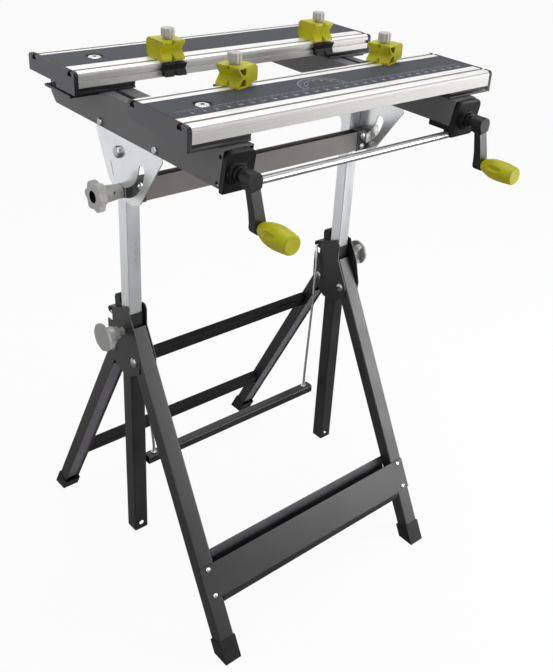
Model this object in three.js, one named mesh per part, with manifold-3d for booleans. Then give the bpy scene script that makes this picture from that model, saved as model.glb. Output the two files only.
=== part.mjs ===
// Folding workbench with a two-jaw vise table, telescoping columns and folding legs.
// Millimetres, +Z up, X along the jaws, -Y towards the cranks. The floor is Z = 0.
import * as THREE from "three";
import { mergeVertices } from "three/addons/utils/BufferGeometryUtils.js";
import Module from "manifold-3d";

const wasm = await Module();
wasm.setup();

// Fits
const SEAT_GAP = 0.3; // between pieces that bear on each other
const RUN_GAP = 0.4; // round a pin, bolt or screw

// Stance
const COLUMN_SPACING = 482; // between the two column axes
const PIVOT_HEIGHT = 853; // tilt axis above the floor
const FOLD_HEIGHT = 489; // leg pivots above the floor
const FOLD_OFFSET = 33; // leg pivots before and behind the columns
const LEG_ANGLE = THREE.MathUtils.degToRad(28);

// Telescoping uprights
const SLEEVE_SIZE = 28;
const SLEEVE_WALL = 1.2;
const SLEEVE_CORNER = 3;
const SLEEVE_BOTTOM = 92.6;
const SLEEVE_ABOVE_FOLD = 81;
const SLEEVE_HOLE_DIAMETER = 8;
const SLEEVE_HOLE_RISE = 14; // above the lower end
const COLUMN_WALL = 1.2;
const COLUMN_BOTTOM = 380;
const COLUMN_ABOVE_PIVOT = 15;

// Legs
const LEG_WALL = 1.2;
const LEG_DEPTH = 28;
const LEG_CORNER = 3;
const FRONT_LEG_ABOVE_PIVOT = 56;
const REAR_LEG_ABOVE_PIVOT = 40;
const LEG_TOP_CHAMFER_DEPTH = 16;
const LEG_TOP_CHAMFER_HEIGHT = 26;
const LEG_END_ABOVE_FLOOR = 12; // up the leg, from where its axis meets the floor
const LEG_PIN_DIAMETER = 10;
const LEG_PIN_HEAD = 17;
const LEG_PIN_HEAD_HEIGHT = 4.5;
const FOOT_WALL = 1.3;
const FOOT_SOCKET = 24; // how far the cap reaches up the leg

// Front tray and rear bars
const TRAY_DROP = 380; // down the leg, from the pivot to the tray's upper edge
const TRAY_HEIGHT = 76;
const TRAY_SHEET = 1.6;
const TRAY_FOLD_HEIGHT = 13;
const TRAY_FOLD_IN = 5;
const TRAY_RIVET_INSET = 7; // from the upper and lower edges
const TRAY_RIVET_HEAD = 9;
const TRAY_RIVET_HEAD_HEIGHT = 2.4;
const BAR_HEIGHT = 20;
const BAR_DEPTH = 13;
const BAR_SHEET = 1.2;
const BAR_CORNER = 2.5;
const UPPER_BAR_DROP = 92;
const LOWER_BAR_DROP = 408;

// Gussets at the leg pivots
const GUSSET_SHEET = 2;
const GUSSET_HALF_DEPTH = 50;
const GUSSET_BELOW_PIVOT = 40;
const GUSSET_TOP_RISE = 14; // front upper corner above the sleeve
const GUSSET_OVER_LATCH = 7; // back upper corner above the latch pin
const GUSSET_PAD_HEIGHT = 16;
const GUSSET_PAD_DEPTH = 20;
const GUSSET_PAD_DROP = 4; // below the top of the sleeve
const ROD_NOTCH_BACK = 35; // the plates stop here, so that the rod's pin passes
const ROD_NOTCH_DROP = 15; // below the rod's pin

// Release treadle, rods and latches
const TREADLE_HEIGHT = 225;
const TREADLE_BACK = 18;
const TREADLE_TALL = 18;
const TREADLE_DEEP = 20;
const TREADLE_HALF_LENGTH = 207;
const TREADLE_WALL = 1.5;
const TREADLE_CORNER = 4;
const ROD_DIAMETER = 5;
const ROD_FOOT_X = 191;
const ROD_PIN_PROUD = 2; // past the latch's outer side
const LATCH_PIN_DIAMETER = 6;
const LATCH_BACK = 24;
const LATCH_ABOVE_FOLD = 71;
const LATCH_PLATE = 26;
const LATCH_HUB_DIAMETER = 14;
const LATCH_ARM = 19; // latch pivot to the rod, along Y
const LATCH_DROP = 7; // latch pivot to the rod, downwards
const LATCH_SLOT_LENGTH = 11;
const LATCH_SLOT_HEIGHT = 6.4;
const LATCH_WALL = 2.8; // above and below the slot
const LATCH_TOOTH_RISE = 15; // latch pivot to the tooth that bears on the column
const LATCH_TOOTH_HEIGHT = 7;
const LATCH_THUMB_RISE = 26; // latch pivot to the middle of the thumb piece
const LATCH_THUMB_RADIUS = 9;

// Cross beam
const BEAM_BELOW_PIVOT = 75; // tilt axis down to the beam's bottom
const BEAM_HEIGHT = 36;
const BEAM_DEPTH = 20;
const BEAM_SHEET = 2;
const BEAM_BOLT_SPREAD = 20;
const BEAM_BOLT_HEAD = 11;
const BEAM_BOLT_HEAD_HEIGHT = 4;
const BEAM_END_BLOCK = 24; // closed end piece behind the bolts
const BEAM_END_PROUD = 1;

// Rails, in the table's own height above the tilt axis
const RAIL_ABOVE_PIVOT = 27;
const RAIL_HEIGHT = 57;
const RAIL_INNER_HEIGHT = 43.5; // the inner flank is the shorter one
const RAIL_WIDTH = 51;
const RAIL_SHEET = 2;
const RAIL_FRONT = -266;
const RAIL_BACK = 205;
const RAIL_RAKE = 10; // the front edge leans back towards the bottom
const RAIL_CHAMFER = 15;
const RAIL_SLOT_WIDTH = 10;
const RAIL_SLOT_FRONT = -45;
const RAIL_SLOT_BACK = 185;
const RAIL_RIVET_FRONT = -104;
const RAIL_RIVET_BACK = 48;
const RAIL_RIVET_RISE = 7;
const RAIL_RIVET_HEAD = 10;
const RAIL_RIVET_HEAD_HEIGHT = 3;

// Tilt brackets and knobs
const BRACKET_SHEET = 2;
const BRACKET_BACK = 66;
const BRACKET_FRONT = -118;
const BRACKET_INTO_RAIL = 24;
const BRACKET_EDGE = 5; // outside the arc slot
const BRACKET_SLIT_BACK = 27;
const BRACKET_SLIT_DROP = 22; // below the tilt axis
const BRACKET_SLIT_HEIGHT = 22;
const BRACKET_SLIT_RUN = 7; // how far it leans forward
const BRACKET_SLIT_WIDTH = 3;
const TILT_BOLT_DIAMETER = 10;
const TILT_BOLT_HEAD = 19;
const TILT_BOLT_HEAD_HEIGHT = 6;
const TILT_SLOT_RADIUS = 64;
const TILT_SLOT_SWEEP = THREE.MathUtils.degToRad(80);
const TILT_SLOT_WIDTH = 16;
const TILT_SCREW_DIAMETER = 10;
const TILT_WASHER_DIAMETER = 24;
const TILT_WASHER_THICK = 2;
const TILT_KNOB_HUB_DIAMETER = 27;
const TILT_KNOB_HUB_LENGTH = 34;
const TILT_KNOB_DIAMETER = 51;
const TILT_KNOB_LENGTH = 14;
const TILT_KNOB_LOBES = 6;
const TILT_KNOB_DIP = 5; // how far the sides draw in between the lobes
const TILT_KNOB_BORE = 20;
const TILT_KNOB_BORE_DEPTH = 11;
const HEIGHT_KNOB_ABOVE_FOLD = 47;
const HEIGHT_KNOB_DIAMETER = 50;
const HEIGHT_KNOB_RIM = 6;
const HEIGHT_KNOB_LOBES = 8;
const HEIGHT_KNOB_DIP = 2;
const HEIGHT_KNOB_HUB_DIAMETER = 22;
const HEIGHT_KNOB_HUB_LENGTH = 26;
const HEIGHT_KNOB_ARMS = 3;
const HEIGHT_KNOB_ARM_WIDTH = 11;
const HEIGHT_KNOB_NECK_DIAMETER = 13;
const HEIGHT_KNOB_NECK_LENGTH = 10;
const HEIGHT_SCREW_DIAMETER = 9;

// Jaws
const JAW_LENGTH = 600;
const JAW_DEPTH = 142;
const JAW_HEIGHT = 24;
const JAW_EDGE_RADIUS = 6;
const FRONT_JAW_FACE = -254.6; // Y of the front jaw's front face
const JAW_OPENING = 145; // between the jaws as shown
const PANEL_INSET = 37; // front face to the dark panel
const PANEL_DEPTH = 77;
const PANEL_SHEET = 2.4;
const PANEL_SCREW_HOLE = 22;
const PANEL_SCREW_HEAD = 12;
const PANEL_SCREW_X = -230;
const SLOT_INSET = 13; // gripping face to the middle of its T-slot
const OUTER_SLOT_INSET = 18; // outer edge to the middle of its T-slot
const SLOT_MOUTH = 6;
const SLOT_HEAD = 11;
const SLOT_LIP = 3;
const SLOT_HEAD_HEIGHT = 5;
const JAW_WALL = 4;
const JAW_RIB = 2.5;
const GROOVE_HEIGHT = 5; // in the gripping face
const GROOVE_DEPTH = 4;
const GROOVE_RISE = 9.5;
const JAW_FACE_WALL = 8;

// Moulded shoes that carry the jaws on the rails
const SHOE_HEIGHT = 10;
const SHOE_CAP = 7;
const SHOE_STRIP_DEPTH = 40;
const SHOE_INNER_X = 204;
const SHOE_DEEP = 56; // front part of the cap that reaches down to the rail
const SHOE_CAP_DROP = 3;
const FLAG_FRONT = 15; // behind the rear jaw's front face
const FLAG_DEPTH = 79;
const FLAG_THICK = 4;
const FLAG_DROP = 7; // below the top of the rail
const FLAG_WEB = 4;
const POST_BACK = 92; // behind the rear jaw's front face
const POST_DEPTH = 24;
const NUT_SIZE = 22;

// Vise screws, housings and cranks
const SCREW_DIAMETER = 12;
const SCREW_BACK = 180;
const CRANK_SPACING = 474; // between the two crank axes
const CRANK_BELOW_RAIL_TOP = 33;
const HOUSING_WIDTH = 57;
const HOUSING_HEIGHT = 65;
const HOUSING_DEPTH = 8;
const HOUSING_CORNER = 9;
const HOUSING_CROWN = 5; // how far the front face rounds over at top and bottom
const HOUSING_PLUG = 42;
const COLLAR_DIAMETER = 24;
const COLLAR_LENGTH = 5;
const SHAFT_DIAMETER = 17;
const SHAFT_LENGTH = 13; // collar's seat to the elbow
const ELBOW_DIAMETER = 24;
const ELBOW_THICK = 21;
const CRANK_RADIUS = 70;
const CRANK_LEAN = THREE.MathUtils.degToRad(10);
const CRANK_ARM_WIDTH = 17;
const CRANK_ARM_THICK = 12;
const CRANK_ARM_SET = 3; // the arm's top lies behind the elbow's front face
const CRANK_END_DIAMETER = 22;
const CRANK_END_THICK = 14;
const GRIP_LENGTH = 65;
const GRIP_NECK_DIAMETER = 20;
const GRIP_BELLY_DIAMETER = 32;
const GRIP_PIN_DIAMETER = 8;
const GRIP_PIN_LENGTH = 54;
const GRIP_FLUTES = 4;
const GRIP_FLUTE_TURN = THREE.MathUtils.degToRad(60);
const GRIP_FLUTE_LENGTH = 44;
const GRIP_FLUTE_DEPTH = 3;
const GRIP_FLUTE_WIDTH = 12;
const TIE_ROD_DIAMETER = 12;
const TIE_ROD_FRONT = -256;
const TIE_ROD_RISE = 6.2; // above the bottom of the housings
const TIE_ROD_LUG = 12; // how far the housing's lug reaches in from the rod's end
const TIE_ROD_LUG_WALL = 2;

// Clamp dogs on the jaws
const DOG_WIDTH = 42;
const DOG_DEPTH = 46;
const DOG_HEIGHT = 31;
const DOG_FACE = 17; // gripping face in front of the screw axis
const DOG_VEE_DEPTH = 9;
const DOG_VEE_HEIGHT = 24;
const DOG_CHAMFER = 5;
const DOG_POCKET = 34;
const DOG_POCKET_WALL = 3;
const DOG_STEP = 6;
const DOG_STEM_DIAMETER = 5;
const DOG_NUT = 9.6;
const DOG_KNOB_DIAMETER = 21.5;
const DOG_KNOB_HEIGHT = 14;
const DOG_KNOB_NECK_DIAMETER = 13;
const DOG_KNOB_NECK = 3;
const DOG_KNOB_FLUTES = 10;
const PAD_WIDTH = 40;
const PAD_HEIGHT = 20;
const PAD_DEPTH = 12;
const PAD_VEE = 5;
const TURNED_DOG = THREE.MathUtils.degToRad(-75);
const LEFT_DOG_INSET = 164; // from the left end of the jaw
const REAR_RIGHT_DOG_INSET = 118; // from the right end of the jaw
const FRONT_RIGHT_DOG_INSET = 126;
const DOGS = [
  { name: "rear_left", x: LEFT_DOG_INSET - JAW_LENGTH / 2, jaw: "rear", turn: 0 },
  { name: "rear_right", x: JAW_LENGTH / 2 - REAR_RIGHT_DOG_INSET, jaw: "rear", turn: 0 },
  { name: "front_left", x: LEFT_DOG_INSET - JAW_LENGTH / 2, jaw: "front", turn: TURNED_DOG },
  { name: "front_right", x: JAW_LENGTH / 2 - FRONT_RIGHT_DOG_INSET, jaw: "front", turn: TURNED_DOG },
];

// Places that follow from the sizes above
const SLEEVE_TOP = FOLD_HEIGHT + SLEEVE_ABOVE_FOLD;
const LATCH_HEIGHT = FOLD_HEIGHT + LATCH_ABOVE_FOLD;
const HEIGHT_KNOB_HEIGHT = FOLD_HEIGHT + HEIGHT_KNOB_ABOVE_FOLD;
const BEAM_BOTTOM = PIVOT_HEIGHT - BEAM_BELOW_PIVOT;
const COLUMN_SIZE = SLEEVE_SIZE - 2 * SLEEVE_WALL - 2 * SEAT_GAP;
const COLUMN_X = COLUMN_SPACING / 2;
const LEG_WIDTH = SLEEVE_SIZE + 2 * SEAT_GAP + 2 * LEG_WALL;
const GUSSET_IN = LEG_WIDTH / 2 + SEAT_GAP; // column axis to the near face of a gusset plate
const BRACKET_IN = COLUMN_SIZE / 2 + RUN_GAP;
const RAIL_OUTER_X = COLUMN_X + BRACKET_IN + BRACKET_SHEET + SEAT_GAP + RAIL_SHEET;
const RAIL_INNER_X = RAIL_OUTER_X - RAIL_WIDTH;
const RAIL_BOTTOM = PIVOT_HEIGHT + RAIL_ABOVE_PIVOT;
const RAIL_TOP = RAIL_BOTTOM + RAIL_HEIGHT;
const SHOE_BOTTOM = RAIL_TOP + SEAT_GAP;
const SHOE_TOP = SHOE_BOTTOM + SHOE_HEIGHT;
const JAW_BOTTOM = SHOE_TOP + SEAT_GAP;
const JAW_TOP = JAW_BOTTOM + JAW_HEIGHT;
const REAR_JAW_FACE = FRONT_JAW_FACE + JAW_DEPTH + JAW_OPENING;
const CRANK_X = CRANK_SPACING / 2;
const CRANK_Z = RAIL_TOP - CRANK_BELOW_RAIL_TOP;
const HOUSING_INNER_X = CRANK_X - HOUSING_WIDTH / 2;
const HOUSING_FRONT = RAIL_FRONT - SEAT_GAP - HOUSING_DEPTH;
const HOUSING_BOTTOM = RAIL_TOP - HOUSING_HEIGHT;
const RAKE_SLOPE = RAIL_RAKE / RAIL_HEIGHT;
const COLLAR_BACK = HOUSING_FRONT - SEAT_GAP;
const ELBOW_BACK = COLLAR_BACK - SHAFT_LENGTH;
const ELBOW_FRONT = ELBOW_BACK - ELBOW_THICK;
const BORE = SCREW_DIAMETER / 2 + RUN_GAP;
const SLEEVE_BORE = SLEEVE_SIZE / 2;

// Finishes
const FINISHES = {
  aluminium: { color: 0xb9bbba, roughness: 0.38, metalness: 0.9 },
  panel: { color: 0x4a4f57, roughness: 0.7, metalness: 0.0 },
  black_plastic: { color: 0x1c1d1f, roughness: 0.55, metalness: 0.0 },
  painted_steel: { color: 0x37383b, roughness: 0.5, metalness: 0.25 },
  zinc: { color: 0xb4b6b4, roughness: 0.35, metalness: 0.95 },
  beam_paint: { color: 0x6f675f, roughness: 0.5, metalness: 0.25 },
  grey_plastic: { color: 0xa9a8a3, roughness: 0.55, metalness: 0.0 },
  lime_plastic: { color: 0x9a9a2c, roughness: 0.5, metalness: 0.0 },
  chrome: { color: 0xd9dbdd, roughness: 0.15, metalness: 1.0 },
};

const bench = new THREE.Group();
const frontFold = new THREE.Group();
frontFold.position.set(0, -FOLD_OFFSET, FOLD_HEIGHT);
frontFold.rotation.x = -LEG_ANGLE;
const rearFold = new THREE.Group();
rearFold.position.set(0, FOLD_OFFSET, FOLD_HEIGHT);
rearFold.rotation.x = LEG_ANGLE;
bench.add(frontFold, rearFold);

// Solids from geometry, and back
function solidOf(geometry) {
  const bare = geometry.clone();
  bare.deleteAttribute("normal");
  bare.deleteAttribute("uv");
  const merged = mergeVertices(bare, 1e-4);
  const mesh = new wasm.Mesh({
    numProp: 3,
    vertProperties: Float32Array.from(merged.attributes.position.array),
    triVerts: Uint32Array.from(merged.index.array),
  });
  return new wasm.Manifold(mesh);
}

function geometryOf(solid) {
  const mesh = solid.getMesh();
  const geometry = new THREE.BufferGeometry();
  geometry.setAttribute("position", new THREE.BufferAttribute(Float32Array.from(mesh.vertProperties), 3));
  geometry.setIndex(new THREE.BufferAttribute(Uint32Array.from(mesh.triVerts), 1));
  const faceted = geometry.toNonIndexed();
  faceted.computeVertexNormals();
  return faceted;
}

const join = (first, ...rest) => rest.reduce((whole, solid) => whole.add(solid), first);
const cut = (first, ...rest) => rest.reduce((whole, solid) => whole.subtract(solid), first);

function piece(name, solid, finish, parent = bench) {
  const mesh = new THREE.Mesh(geometryOf(solid), new THREE.MeshStandardMaterial(FINISHES[finish]));
  mesh.name = name;
  parent.add(mesh);
}

// A box between two opposite corners, in any order
function box(x0, x1, y0, y1, z0, z1) {
  const geometry = new THREE.BoxGeometry(Math.abs(x1 - x0), Math.abs(y1 - y0), Math.abs(z1 - z0));
  return solidOf(geometry.translate((x0 + x1) / 2, (y0 + y1) / 2, (z0 + z1) / 2));
}

const outline = (points) =>
  points instanceof THREE.Shape ? points : new THREE.Shape(points.map(([a, b]) => new THREE.Vector2(a, b)));

function extruded(points, from, to, basis, curveSegments) {
  const depth = Math.abs(to - from);
  const options = { depth, bevelEnabled: false, curveSegments };
  const geometry = new THREE.ExtrudeGeometry(outline(points), options);
  return solidOf(geometry.translate(0, 0, Math.min(from, to)).applyMatrix4(basis));
}

const X = new THREE.Vector3(1, 0, 0);
const Y = new THREE.Vector3(0, 1, 0);
const Z = new THREE.Vector3(0, 0, 1);
const ALONG_X = new THREE.Matrix4().makeBasis(Y, Z, X);
const ALONG_Y = new THREE.Matrix4().makeBasis(X, Z, Y.clone().negate());
const ALONG_Z = new THREE.Matrix4();

// Prisms along each axis: the outlines are in Y and Z, in X and Z, and in X and Y
const prismX = (points, x0, x1, curves = 2) => extruded(points, x0, x1, ALONG_X, curves);
const prismY = (points, y0, y1, curves = 2) => extruded(points, -y0, -y1, ALONG_Y, curves);
const prismZ = (points, z0, z1, curves = 2) => extruded(points, z0, z1, ALONG_Z, curves);

function circle(radius, sides, a = 0, b = 0) {
  const turn = (2 * Math.PI) / sides;
  return Array.from({ length: sides }, (_, i) => [
    a + radius * Math.cos(turn * (i + 0.5)),
    b + radius * Math.sin(turn * (i + 0.5)),
  ]);
}

// An outline whose radius swings between two values, lobes times round
function lobed(radius, dip, lobes, a = 0, b = 0, pointsPerLobe = 8) {
  const count = lobes * pointsPerLobe;
  return Array.from({ length: count }, (_, i) => {
    const angle = (2 * Math.PI * i) / count;
    const r = radius - (dip * (1 - Math.cos(lobes * angle))) / 2;
    return [a + r * Math.cos(angle), b + r * Math.sin(angle)];
  });
}

const pinX = (diameter, x0, x1, y, z, sides = 12) => prismX(circle(diameter / 2, sides, y, z), x0, x1);
const pinY = (diameter, y0, y1, x, z, sides = 12) => prismY(circle(diameter / 2, sides, x, z), y0, y1);
const pinZ = (diameter, z0, z1, x, y, sides = 12) => prismZ(circle(diameter / 2, sides, x, y), z0, z1);

// A turned form about an axis: profile points are [radius, distance along direction]
function turned(profile, origin, direction, sides = 16) {
  const points = profile.map(([r, h]) => new THREE.Vector2(r, h));
  const geometry = new THREE.LatheGeometry(points, sides);
  const turn = new THREE.Quaternion().setFromUnitVectors(Y, new THREE.Vector3(...direction));
  return solidOf(geometry.applyQuaternion(turn).translate(...origin));
}

// A shallow domed head, standing on its seat
const domedHead = (diameter, height, origin, direction) =>
  turned(
    [
      [0, -SEAT_GAP],
      [diameter / 2, -SEAT_GAP],
      [diameter / 2, height * 0.35],
      [diameter * 0.3, height],
      [0, height],
    ],
    origin,
    direction,
    8,
  );

function roundedRectangle(width, height, radius, a = 0, b = 0) {
  const shape = new THREE.Shape();
  const right = a + width / 2;
  const left = a - width / 2;
  const top = b + height / 2;
  const bottom = b - height / 2;
  shape.moveTo(left + radius, bottom);
  shape.absarc(right - radius, bottom + radius, radius, -Math.PI / 2, 0);
  shape.absarc(right - radius, top - radius, radius, 0, Math.PI / 2);
  shape.absarc(left + radius, top - radius, radius, Math.PI / 2, Math.PI);
  shape.absarc(left + radius, bottom + radius, radius, Math.PI, 1.5 * Math.PI);
  return shape;
}

function tubeOutline(width, height, wall, corner, a = 0, b = 0) {
  const shape = roundedRectangle(width, height, corner, a, b);
  const innerCorner = Math.max(corner - wall, 0.4);
  shape.holes.push(roundedRectangle(width - 2 * wall, height - 2 * wall, innerCorner, a, b));
  return shape;
}

const SIDES = [
  { side: -1, label: "left" },
  { side: 1, label: "right" },
];

// Uprights: sleeve, gussets with the leg and latch pins, column
function sleeve(side) {
  const x = side * COLUMN_X;
  const section = tubeOutline(SLEEVE_SIZE, SLEEVE_SIZE, SLEEVE_WALL, SLEEVE_CORNER, x);
  const tube = prismZ(section, SLEEVE_BOTTOM, SLEEVE_TOP);
  const crossHole = pinY(
    SLEEVE_HOLE_DIAMETER, -SLEEVE_SIZE, SLEEVE_SIZE, x, SLEEVE_BOTTOM + SLEEVE_HOLE_RISE,
  );
  const screwHole = pinX(
    HEIGHT_SCREW_DIAMETER + 2 * RUN_GAP, x, x + side * SLEEVE_SIZE, 0, HEIGHT_KNOB_HEIGHT,
  );
  const toothHalf = LATCH_PLATE / 2 + RUN_GAP;
  const toothBottom = LATCH_HEIGHT + LATCH_TOOTH_RISE - RUN_GAP;
  const toothWay = box(
    x - toothHalf, x + toothHalf, COLUMN_SIZE / 2, SLEEVE_SIZE,
    toothBottom, toothBottom + LATCH_TOOTH_HEIGHT + 2 * RUN_GAP,
  );
  return cut(tube, crossHole, screwHole, toothWay);
}

// A point of a front leg's web, so far up the leg from its pivot
function frontWebAt(rise) {
  const half = LEG_DEPTH / 2;
  return [
    -FOLD_OFFSET - half * Math.cos(LEG_ANGLE) + rise * Math.sin(LEG_ANGLE),
    FOLD_HEIGHT + half * Math.sin(LEG_ANGLE) + rise * Math.cos(LEG_ANGLE),
  ];
}

// The outer plate stands proud of the front leg, and the inner one ends flush with the leg's web
function gussetOutline(inner) {
  const top = SLEEVE_TOP + GUSSET_TOP_RISE;
  const low = FOLD_HEIGHT - GUSSET_BELOW_PIVOT;
  const shape = new THREE.Shape();
  const back = ROD_NOTCH_BACK;
  const backTop = LATCH_HEIGHT + GUSSET_OVER_LATCH;
  const notch = LATCH_HEIGHT - LATCH_DROP - ROD_NOTCH_DROP;
  shape.moveTo(-14, low);
  shape.lineTo(14, low);
  shape.lineTo(GUSSET_HALF_DEPTH - 2, FOLD_HEIGHT - 18);
  shape.lineTo(GUSSET_HALF_DEPTH, FOLD_HEIGHT + 10);
  shape.lineTo(GUSSET_HALF_DEPTH, notch);
  shape.lineTo(back, notch);
  shape.lineTo(back, backTop - 4);
  shape.quadraticCurveTo(back, backTop, back - 6, backTop + 2);
  shape.lineTo(-8, top);
  shape.quadraticCurveTo(-17, top + 2, -19, top - 8);
  if (inner) {
    shape.lineTo(...frontWebAt(FRONT_LEG_ABOVE_PIVOT));
    shape.lineTo(...frontWebAt(0));
  } else {
    shape.lineTo(-FOLD_OFFSET - 5, SLEEVE_TOP - 28);
    shape.lineTo(1 - GUSSET_HALF_DEPTH, FOLD_HEIGHT + 8);
  }
  shape.lineTo(3 - GUSSET_HALF_DEPTH, FOLD_HEIGHT - 18);
  return shape;
}

function gusset(side) {
  const x = side * COLUMN_X;
  const near = GUSSET_IN;
  const far = GUSSET_IN + GUSSET_SHEET;
  const padBottom = SLEEVE_TOP - GUSSET_PAD_DROP - GUSSET_PAD_HEIGHT;
  const padTop = SLEEVE_TOP - GUSSET_PAD_DROP;
  const padFace = SLEEVE_BORE + SEAT_GAP;
  const solids = [-1, 1].flatMap((inOut) => {
    const face = side * inOut;
    const plate = prismX(gussetOutline(inOut < 0), x + face * near, x + face * far);
    const pad = box(
      x + face * padFace, x + face * (near + SEAT_GAP),
      -GUSSET_PAD_DEPTH / 2, GUSSET_PAD_DEPTH / 2, padBottom, padTop,
    );
    const heads = [-FOLD_OFFSET, FOLD_OFFSET].map((y) =>
      domedHead(LEG_PIN_HEAD, LEG_PIN_HEAD_HEIGHT, [x + face * far, y, FOLD_HEIGHT], [face, 0, 0]),
    );
    return [plate, pad, ...heads];
  });
  const pins = [-FOLD_OFFSET, FOLD_OFFSET].map((y) =>
    pinX(LEG_PIN_DIAMETER, x - near - SEAT_GAP, x + near + SEAT_GAP, y, FOLD_HEIGHT),
  );
  const latchPin = pinX(
    LATCH_PIN_DIAMETER, x - near - SEAT_GAP, x + near + SEAT_GAP, LATCH_BACK, LATCH_HEIGHT, 12,
  );
  const screwHole = pinX(
    HEIGHT_SCREW_DIAMETER + 2 * RUN_GAP, x + side * near, x + side * (far + 1), 0, HEIGHT_KNOB_HEIGHT,
  );
  return cut(join(...solids, ...pins, latchPin), screwHole);
}

function column(side) {
  const x = side * COLUMN_X;
  const top = PIVOT_HEIGHT + COLUMN_ABOVE_PIVOT;
  const section = tubeOutline(COLUMN_SIZE, COLUMN_SIZE, COLUMN_WALL, SLEEVE_CORNER - SLEEVE_WALL, x);
  const tube = prismZ(section, COLUMN_BOTTOM, top);
  const bracketFace = BRACKET_IN + BRACKET_SHEET;
  const boltEnd = x + side * (COLUMN_SIZE / 2 - COLUMN_WALL);
  const bolt = pinX(TILT_BOLT_DIAMETER, boltEnd, x + side * (bracketFace + 1), 0, PIVOT_HEIGHT);
  const headSeat = [x + side * (bracketFace + 2 * SEAT_GAP), 0, PIVOT_HEIGHT];
  const head = domedHead(TILT_BOLT_HEAD, TILT_BOLT_HEAD_HEIGHT, headSeat, [side, 0, 0]);
  const screwHole = pinX(
    TILT_SCREW_DIAMETER + 2 * RUN_GAP, x, x + side * COLUMN_SIZE, 0, PIVOT_HEIGHT - TILT_SLOT_RADIUS,
  );
  return cut(join(tube, bolt, head), screwHole);
}

// A channel open at the top, with closed end pieces bolted to the columns
function crossBeam() {
  const back = -COLUMN_SIZE / 2 - SEAT_GAP;
  const front = back - BEAM_DEPTH;
  const top = BEAM_BOTTOM + BEAM_HEIGHT;
  const half = COLUMN_X + COLUMN_SIZE / 2;
  const t = BEAM_SHEET;
  const channel = prismX(
    [
      [front, BEAM_BOTTOM],
      [back, BEAM_BOTTOM],
      [back, top],
      [back - t, top],
      [back - t, BEAM_BOTTOM + t],
      [front + t, BEAM_BOTTOM + t],
      [front + t, top],
      [front, top],
    ],
    t - half,
    half - t,
  );
  const endFront = front - BEAM_END_PROUD;
  const middle = BEAM_BOTTOM + BEAM_HEIGHT / 2;
  const ends = SIDES.flatMap(({ side }) => {
    const block = box(
      side * (half - BEAM_END_BLOCK), side * half, endFront, back,
      BEAM_BOTTOM - BEAM_END_PROUD, top + BEAM_END_PROUD,
    );
    const heads = [-1, 1].map((row) => {
      const z = middle + (row * BEAM_BOLT_SPREAD) / 2;
      return domedHead(BEAM_BOLT_HEAD, BEAM_BOLT_HEAD_HEIGHT, [side * COLUMN_X, endFront, z], [0, -1, 0]);
    });
    return [block, ...heads];
  });
  return join(channel, ...ends);
}

// Knobs on the uprights
function tiltKnob(side) {
  const start = COLUMN_X + BRACKET_IN + BRACKET_SHEET + SEAT_GAP;
  const z = PIVOT_HEIGHT - TILT_SLOT_RADIUS;
  const headStart = start + TILT_KNOB_HUB_LENGTH;
  const end = headStart + TILT_KNOB_LENGTH;
  const hubRadius = TILT_KNOB_HUB_DIAMETER / 2;
  const hub = turned(
    [
      [0, 0],
      [TILT_WASHER_DIAMETER / 2, 0],
      [TILT_WASHER_DIAMETER / 2, TILT_WASHER_THICK],
      [hubRadius - TILT_WASHER_THICK, TILT_WASHER_THICK],
      [hubRadius, TILT_KNOB_HUB_LENGTH * 0.6],
      [hubRadius, TILT_KNOB_HUB_LENGTH + 1],
      [0, TILT_KNOB_HUB_LENGTH + 1],
    ],
    [side * start, 0, z],
    [side, 0, 0],
  );
  const star = lobed(TILT_KNOB_DIAMETER / 2, TILT_KNOB_DIP, TILT_KNOB_LOBES, 0, z, 6);
  const head = prismX(star, side * headStart, side * end);
  const bore = pinX(TILT_KNOB_BORE, side * (end - TILT_KNOB_BORE_DEPTH), side * (end + 1), 0, z, 18);
  const screw = pinX(TILT_SCREW_DIAMETER, side * (COLUMN_X + 2), side * (start + 1), 0, z);
  return join(cut(join(hub, head), bore), screw);
}

function heightKnob(side) {
  const start = COLUMN_X + GUSSET_IN + GUSSET_SHEET + SEAT_GAP;
  const z = HEIGHT_KNOB_HEIGHT;
  const hubStart = start + HEIGHT_KNOB_NECK_LENGTH;
  const discStart = hubStart + HEIGHT_KNOB_HUB_LENGTH;
  const neck = pinX(HEIGHT_KNOB_NECK_DIAMETER, side * start, side * (hubStart + 1), 0, z);
  const hub = pinX(HEIGHT_KNOB_HUB_DIAMETER, side * hubStart, side * (discStart + 1), 0, z, 16);
  const rim = lobed(HEIGHT_KNOB_DIAMETER / 2, HEIGHT_KNOB_DIP, HEIGHT_KNOB_LOBES, 0, z, 4);
  const disc = prismX(rim, side * discStart, side * (discStart + HEIGHT_KNOB_RIM));
  const outward = X.clone().multiplyScalar(side);
  const armReach = HEIGHT_KNOB_DIAMETER / 2 - HEIGHT_KNOB_DIP;
  const arms = Array.from({ length: HEIGHT_KNOB_ARMS }, (_, i) => {
    const angle = (2 * Math.PI * i) / HEIGHT_KNOB_ARMS;
    const radial = new THREE.Vector3(0, Math.cos(angle), Math.sin(angle));
    const basis = new THREE.Matrix4().makeBasis(radial, outward, radial.clone().cross(outward));
    const web = [
      [0, hubStart + HEIGHT_KNOB_HUB_LENGTH * 0.3],
      [HEIGHT_KNOB_HUB_DIAMETER / 2, hubStart + HEIGHT_KNOB_HUB_LENGTH * 0.3],
      [armReach, discStart],
      [armReach, discStart + 1],
      [0, discStart + 1],
    ];
    const half = HEIGHT_KNOB_ARM_WIDTH / 2;
    return extruded(web, -half, half, basis.setPosition(0, 0, z));
  });
  const screw = pinX(
    HEIGHT_SCREW_DIAMETER, side * (COLUMN_X + COLUMN_SIZE / 2 + SEAT_GAP), side * (start + 1), 0, z,
  );
  return join(disc, hub, neck, ...arms, screw);
}

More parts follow.
